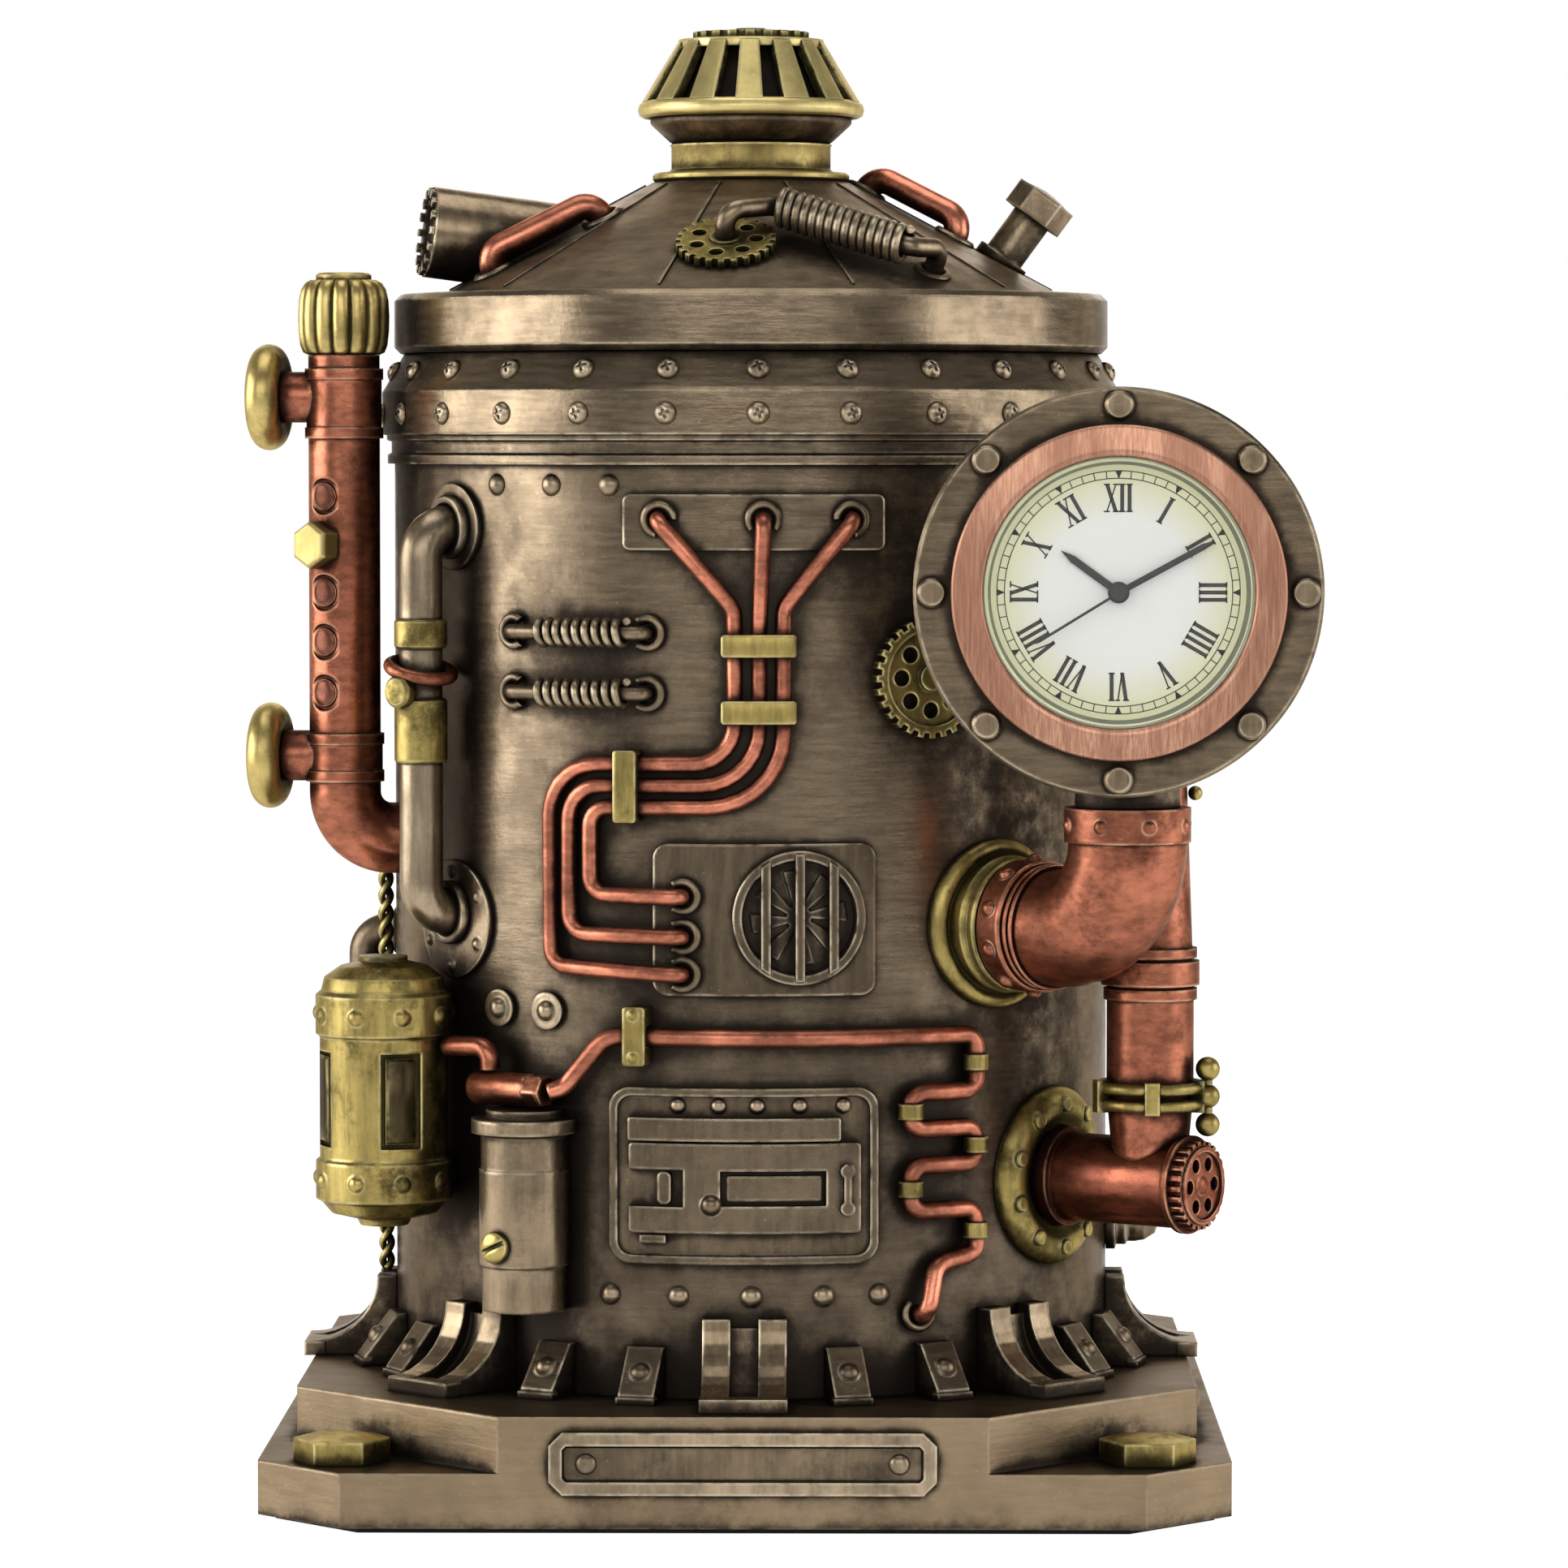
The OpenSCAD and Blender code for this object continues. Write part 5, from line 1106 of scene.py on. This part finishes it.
STAND_A = -73.6
STAND_LIFT = 7.6
STAND_R = 4.5
STAND_TOP = 142.75
STAND_AXIS = on_wall(STAND_A, 0, STAND_LIFT)
CAP_LOBES = 14
CAP_STEPS = 10
CAP_GROOVE = 0.85
CAP_PROFILE = ((4.6, 0.0), (5.2, 0.3), (5.55, 1.2), (5.75, 3.0), (5.8, 4.8), (5.7, 6.8), (5.4, 8.2),
               (4.9, 9.0), (4.3, 9.4))
CAP_DISC = [(0, 9.2), (3.5, 9.2), (3.5, 10.0), (3.2, 10.3), (0, 10.3)]
HEX_Z = 118.8
HEX_TURN = math.radians(-38)
HEX_KNOB = [(0, STAND_R - 0.4), (3.0, STAND_R - 0.4), (3.0, STAND_R + 2.0), (2.6, STAND_R + 2.4),
            (0, STAND_R + 2.4)]


def lobe(step):
    """Share of the groove depth that is left standing, 0 in a groove and 1 on a lobe."""
    return math.sqrt(abs(math.sin(math.pi * step / CAP_STEPS)))


def standpipe_cap():
    mesh = bmesh.new()
    place = Matrix.Translation(STAND_AXIS + UP * STAND_TOP)
    count = CAP_LOBES * CAP_STEPS
    rings = []
    for r, z in CAP_PROFILE:
        ring = []
        for k in range(count):
            turn = 2 * math.pi * k / count
            reach = r - CAP_GROOVE * (1 - lobe(k))
            ring.append(mesh.verts.new(place @ Vector((reach * math.cos(turn), reach * math.sin(turn), z))))
        rings.append(ring)
    closed(mesh, rings)
    lathe(mesh, CAP_DISC, place)
    lathe(mesh, HEX_KNOB, towards(STAND_AXIS + UP * HEX_Z, outward(HEX_TURN), math.pi / 6), 6)
    make("standpipe_cap_brass", mesh, brass_fair, "boiler", "brass", "standpipe_cap")


# The dark panes in the standpipe's portholes, bent to follow the pipe

PORT_Z = (100.2, 106.6, 112.8, 124.9)
PORT_TURN = math.radians(-32)
PORT_PANE = [(0, -0.2), (0.8, -0.2), (1.62, -0.2), (1.62, 0.02), (1.45, 0.1), (0.8, 0.1), (0, 0.1)]


def porthole_panes():
    mesh = bmesh.new()
    for z in PORT_Z:
        known = set(mesh.verts)
        lathe(mesh, PORT_PANE)
        for vert in set(mesh.verts) - known:
            across, along, lift = vert.co
            out = outward(PORT_TURN + across / STAND_R)
            vert.co = STAND_AXIS + (STAND_R + lift) * out + UP * (z + along)
    make("porthole_panes_copper", mesh, copper_pane, "boiler", "copper")


# Pipe flanges, and the band beside the elbow's: outlines as radius and lift from the wall

ELBOW_A = math.degrees(math.atan2(46.5, 50.7))
ELBOW_Z = 72.3
ELBOW_R = 7.2
LOWER_A = 56.2
LOWER_Z = 40.1
LOWER_BOLTS = 10
LOWER_BOLT_AT = 9.0
ELBOW_DISH = [(7.9, 0.1), (10.5, 0.1), (10.5, 0.6), (10.3, 1.1), (9.7, 1.5), (9.0, 1.5), (8.6, 1.2),
              (7.9, 1.2)]
ELBOW_NECK = [(7.3, 0.6), (8.4, 0.6), (8.5, 2.5), (8.2, 2.8), (8.0, 3.0), (8.0, 3.4), (8.3, 3.6), (8.35, 4.4),
              (8.1, 4.7), (7.3, 4.7)]
LOWER_DISH = [(6.3, 0.1), (11.2, 0.1), (11.2, 0.5), (11.0, 1.2), (10.4, 1.8), (9.5, 2.2), (8.6, 2.3),
              (7.7, 2.0), (7.0, 1.4), (6.6, 1.2), (6.3, 1.2)]
LOWER_BOLT_LIFT = 2.15
LOWER_BOLT = [(0, -0.3), (1.0, -0.3), (1.0, 0.3), (0.8, 0.5), (0, 0.55)]


def wall_lathe(mesh, angle, height, profile, steps=72):
    """Turns an outline of radius and lift round a point of the wall, bent to follow the wall."""
    rings = []
    for r, lift in profile:
        ring = []
        for k in range(steps):
            turn = 2 * math.pi * k / steps
            swing = math.degrees(math.asin(r * math.sin(turn) / (SHELL_R + lift)))
            ring.append(mesh.verts.new(on_wall(angle + swing, height + r * math.cos(turn), lift)))
        rings.append(ring)
    skin(mesh, rings + rings[:1])


def flanges():
    """Domed brass flanges, the lower one with flat bolt heads let into it."""
    mesh = bmesh.new()
    wall_lathe(mesh, ELBOW_A, ELBOW_Z, ELBOW_DISH)
    lathe(mesh, ELBOW_NECK, towards(on_wall(ELBOW_A, ELBOW_Z), on_wall(ELBOW_A, 0)), 72)
    wall_lathe(mesh, LOWER_A, LOWER_Z, LOWER_DISH)
    for k in range(LOWER_BOLTS):
        turn = 2 * math.pi * k / LOWER_BOLTS
        swing = math.degrees(math.asin(LOWER_BOLT_AT * math.sin(turn) / SHELL_R))
        angle = LOWER_A + swing
        head = on_wall(angle, LOWER_Z + LOWER_BOLT_AT * math.cos(turn), LOWER_BOLT_LIFT)
        lathe(mesh, LOWER_BOLT, towards(head, on_wall(angle, 0)), 20)
    make("pipe_flanges_brass", mesh, brass_trim, "boiler", "brass", "pipe_flanges")


BAND_LOW = 4.8
BAND_HIGH = 8.8
BAND_IN = ELBOW_R + 0.05
BAND_OUT = ELBOW_R + 0.95
BAND = [(BAND_IN, BAND_LOW), (BAND_OUT - 0.3, BAND_LOW), (BAND_OUT, BAND_LOW + 0.3),
        (BAND_OUT, BAND_HIGH - 0.3), (BAND_OUT - 0.3, BAND_HIGH), (BAND_IN, BAND_HIGH)]
BAND_RINGS = (9.0, 10.0)
BAND_RING = [(BAND_IN, 0), (BAND_IN + 0.35, 0), (BAND_IN + 0.5, 0.2), (BAND_IN + 0.5, 0.45),
             (BAND_IN + 0.35, 0.65), (BAND_IN, 0.65)]
BAND_RIVETS = 10
RIVET_R = 0.95
RIVET = [(0, -0.2), (RIVET_R, -0.2), (RIVET_R, 0.15), (0.8 * RIVET_R, 0.5), (0.4 * RIVET_R, 0.7), (0, 0.75)]


def elbow_band():
    """The riveted band round the elbow, next to its flange, and two thin rings beside it."""
    mesh = bmesh.new()
    way = on_wall(ELBOW_A, 0).normalized()
    lathe(mesh, BAND, towards(on_wall(ELBOW_A, ELBOW_Z), way), 64)
    for start in BAND_RINGS:
        lathe(mesh, BAND_RING, towards(on_wall(ELBOW_A, ELBOW_Z, start), way), 64)
    middle = on_wall(ELBOW_A, ELBOW_Z, (BAND_LOW + BAND_HIGH) / 2)
    side = way.cross(UP)
    for k in range(BAND_RIVETS):
        turn = 2 * math.pi * k / BAND_RIVETS
        out = math.cos(turn) * UP + math.sin(turn) * side
        lathe(mesh, RIVET, towards(middle + BAND_OUT * out, out), 16)
    make("elbow_band_copper", mesh, copper_pipe, "boiler", "copper")


harness()
steam_line()
front_springs()
feed_hose()
tank_cable()
tank_panes()
name_inlay()
name_bolts()
lid_hoses()
lid_rod()
lid_grommets()
lid_seams()
dial_print()
rehaut()
finial()
rail_sleeves()
rail_wrap()
rail_grommets()
standpipe_cap()
porthole_panes()
elbow_band()
flanges()


# Camera

CAMERA_FAR = 860 * MM
CAMERA_HIGH = 132.25 * MM
CAMERA_TURN = math.radians(1.0)
AIM_SIDE = 4.23 * MM
AIM_HIGH = 87.75 * MM
LENS = 153.5
SENSOR = 36.0


def add_camera():
    data = bpy.data.cameras.new("camera")
    data.lens = LENS
    data.sensor_width = SENSOR
    obj = bpy.data.objects.new("camera", data)
    bpy.context.scene.collection.objects.link(obj)
    place = outward(CAMERA_TURN) * CAMERA_FAR + UP * CAMERA_HIGH
    aim = sideways(CAMERA_TURN) * AIM_SIDE + UP * AIM_HIGH
    obj.location = place
    obj.rotation_euler = (aim - place).to_track_quat("-Z", "Y").to_euler()
    bpy.context.scene.camera = obj


add_camera()


# Floor, world and lamps

WHITE = (1, 1, 1, 1)
AIM = Vector((0, 0, 0.09))
ROOM_DIM = 0.13
SWEEP_BRIGHT = 1.0
SWEEP_ABOVE = 0.25
SWEEP_BACK = (0.45, 0.85)
SWEEP_TOP = (0.40, 0.80)
FLOOR_HALF = 6.0
FLOOR_FRONT = 0.7
FLOOR_PAINT = (0.86, 0.86, 0.86, 1)
FLOOR_SHARE = 0.7
FLOOR_GLOW = 1.4

# Soft boxes: name, place and size in metres, power in watts
SOFT_BOXES = (
    ("left_box", (-0.95, -0.12, 0.30), (0.90, 0.56), 7.2),
    ("right_box", (0.95, -0.16, 0.30), (0.90, 0.56), 4.0),
    ("front_box", (0.0, -1.12, 0.46), (1.40, 0.55), 4.8),
    ("top_box", (0.0, 0.0, 1.00), (0.7, 0.7), 2.8),
    ("back_box", (0.0, 0.95, 0.55), (0.8, 0.5), 2.0),
)


def add_lamp(name, place, size, power):
    data = bpy.data.lights.new(name, "AREA")
    data.shape = "RECTANGLE"
    data.size, data.size_y = size
    data.energy = power
    obj = bpy.data.objects.new(name, data)
    bpy.context.scene.collection.objects.link(obj)
    obj.location = place
    obj.rotation_euler = (AIM - Vector(place)).to_track_quat("-Z", "Y").to_euler()


def combined(tree, operation, a, b):
    made = tree.nodes.new("ShaderNodeMath")
    made.operation = operation
    tree.links.new(a, made.inputs[0])
    tree.links.new(b, made.inputs[1])
    return made.outputs[0]


def smooth_step(tree, value, low, high, to_low=0.0, to_high=1.0):
    made = tree.nodes.new("ShaderNodeMapRange")
    made.interpolation_type = "SMOOTHSTEP"
    made.inputs["From Min"].default_value = low
    made.inputs["From Max"].default_value = high
    made.inputs["To Min"].default_value = to_low
    made.inputs["To Max"].default_value = to_high
    tree.links.new(value, made.inputs["Value"])
    return made.outputs["Result"]


def seen_directly(tree, *kinds):
    """1 for camera rays and rays of the named kinds, 0 for the light that falls on things."""
    path = tree.nodes.new("ShaderNodeLightPath")
    share = path.outputs["Is Camera Ray"]
    for kind in kinds:
        share = combined(tree, "MAXIMUM", share, path.outputs[kind])
    return share


def blend(tree, share, first, second, output):
    """Sends two shaders, mixed by a share, to an output node."""
    mix = tree.nodes.new("ShaderNodeMixShader")
    tree.links.new(share, mix.inputs[0])
    tree.links.new(first.outputs[0], mix.inputs[1])
    tree.links.new(second.outputs[0], mix.inputs[2])
    tree.links.new(mix.outputs[0], tree.nodes.new(output).inputs["Surface"])


def add_world():
    """White to the camera. For the rest a white sweep behind, fainter above, and a dim room in front."""
    world = bpy.data.worlds.new("studio")
    bpy.context.scene.world = world
    world.use_nodes = True
    tree = world.node_tree
    tree.nodes.clear()
    split = tree.nodes.new("ShaderNodeSeparateXYZ")
    tree.links.new(tree.nodes.new("ShaderNodeTexCoord").outputs["Generated"], split.inputs[0])
    behind = smooth_step(tree, split.outputs["Y"], *SWEEP_BACK)
    below_top = smooth_step(tree, split.outputs["Z"], *SWEEP_TOP, 1.0, SWEEP_ABOVE)
    sweep = combined(tree, "MULTIPLY", behind, below_top)
    soft = tree.nodes.new("ShaderNodeBackground")
    soft.inputs["Color"].default_value = WHITE
    tree.links.new(smooth_step(tree, sweep, 0.0, 1.0, ROOM_DIM, SWEEP_BRIGHT), soft.inputs["Strength"])
    white = tree.nodes.new("ShaderNodeBackground")
    white.inputs["Color"].default_value = WHITE
    white.inputs["Strength"].default_value = 1.0
    blend(tree, seen_directly(tree, "Is Transmission Ray"), soft, white, "ShaderNodeOutputWorld")


def floor_finish():
    """Matte white that shows partly as a glow, so that it stays white and keeps a soft shadow."""
    material = bpy.data.materials.new("floor")
    material.use_nodes = True
    tree = material.node_tree
    tree.nodes.clear()
    matte = tree.nodes.new("ShaderNodeBsdfDiffuse")
    matte.inputs["Color"].default_value = FLOOR_PAINT
    glow = tree.nodes.new("ShaderNodeEmission")
    glow.inputs["Strength"].default_value = FLOOR_GLOW
    direct = seen_directly(tree, "Is Transmission Ray", "Is Glossy Ray")
    share = smooth_step(tree, direct, 0.0, 1.0, 0.0, FLOOR_SHARE)
    blend(tree, share, matte, glow, "ShaderNodeOutputMaterial")
    return material


def add_floor():
    """A table that ends a little in front of the box."""
    mesh = bmesh.new()
    bmesh.ops.create_grid(mesh, x_segments=4, y_segments=4, size=FLOOR_HALF)
    bmesh.ops.translate(mesh, vec=(0, FLOOR_HALF - FLOOR_FRONT, 0), verts=mesh.verts)
    data = bpy.data.meshes.new("floor")
    mesh.to_mesh(data)
    mesh.free()
    data.materials.append(floor_finish())
    obj = bpy.data.objects.new("floor", data)
    bpy.context.scene.collection.objects.link(obj)


add_world()
add_floor()
for soft_box in SOFT_BOXES:
    add_lamp(*soft_box)

bpy.context.scene.view_settings.view_transform = "Standard"
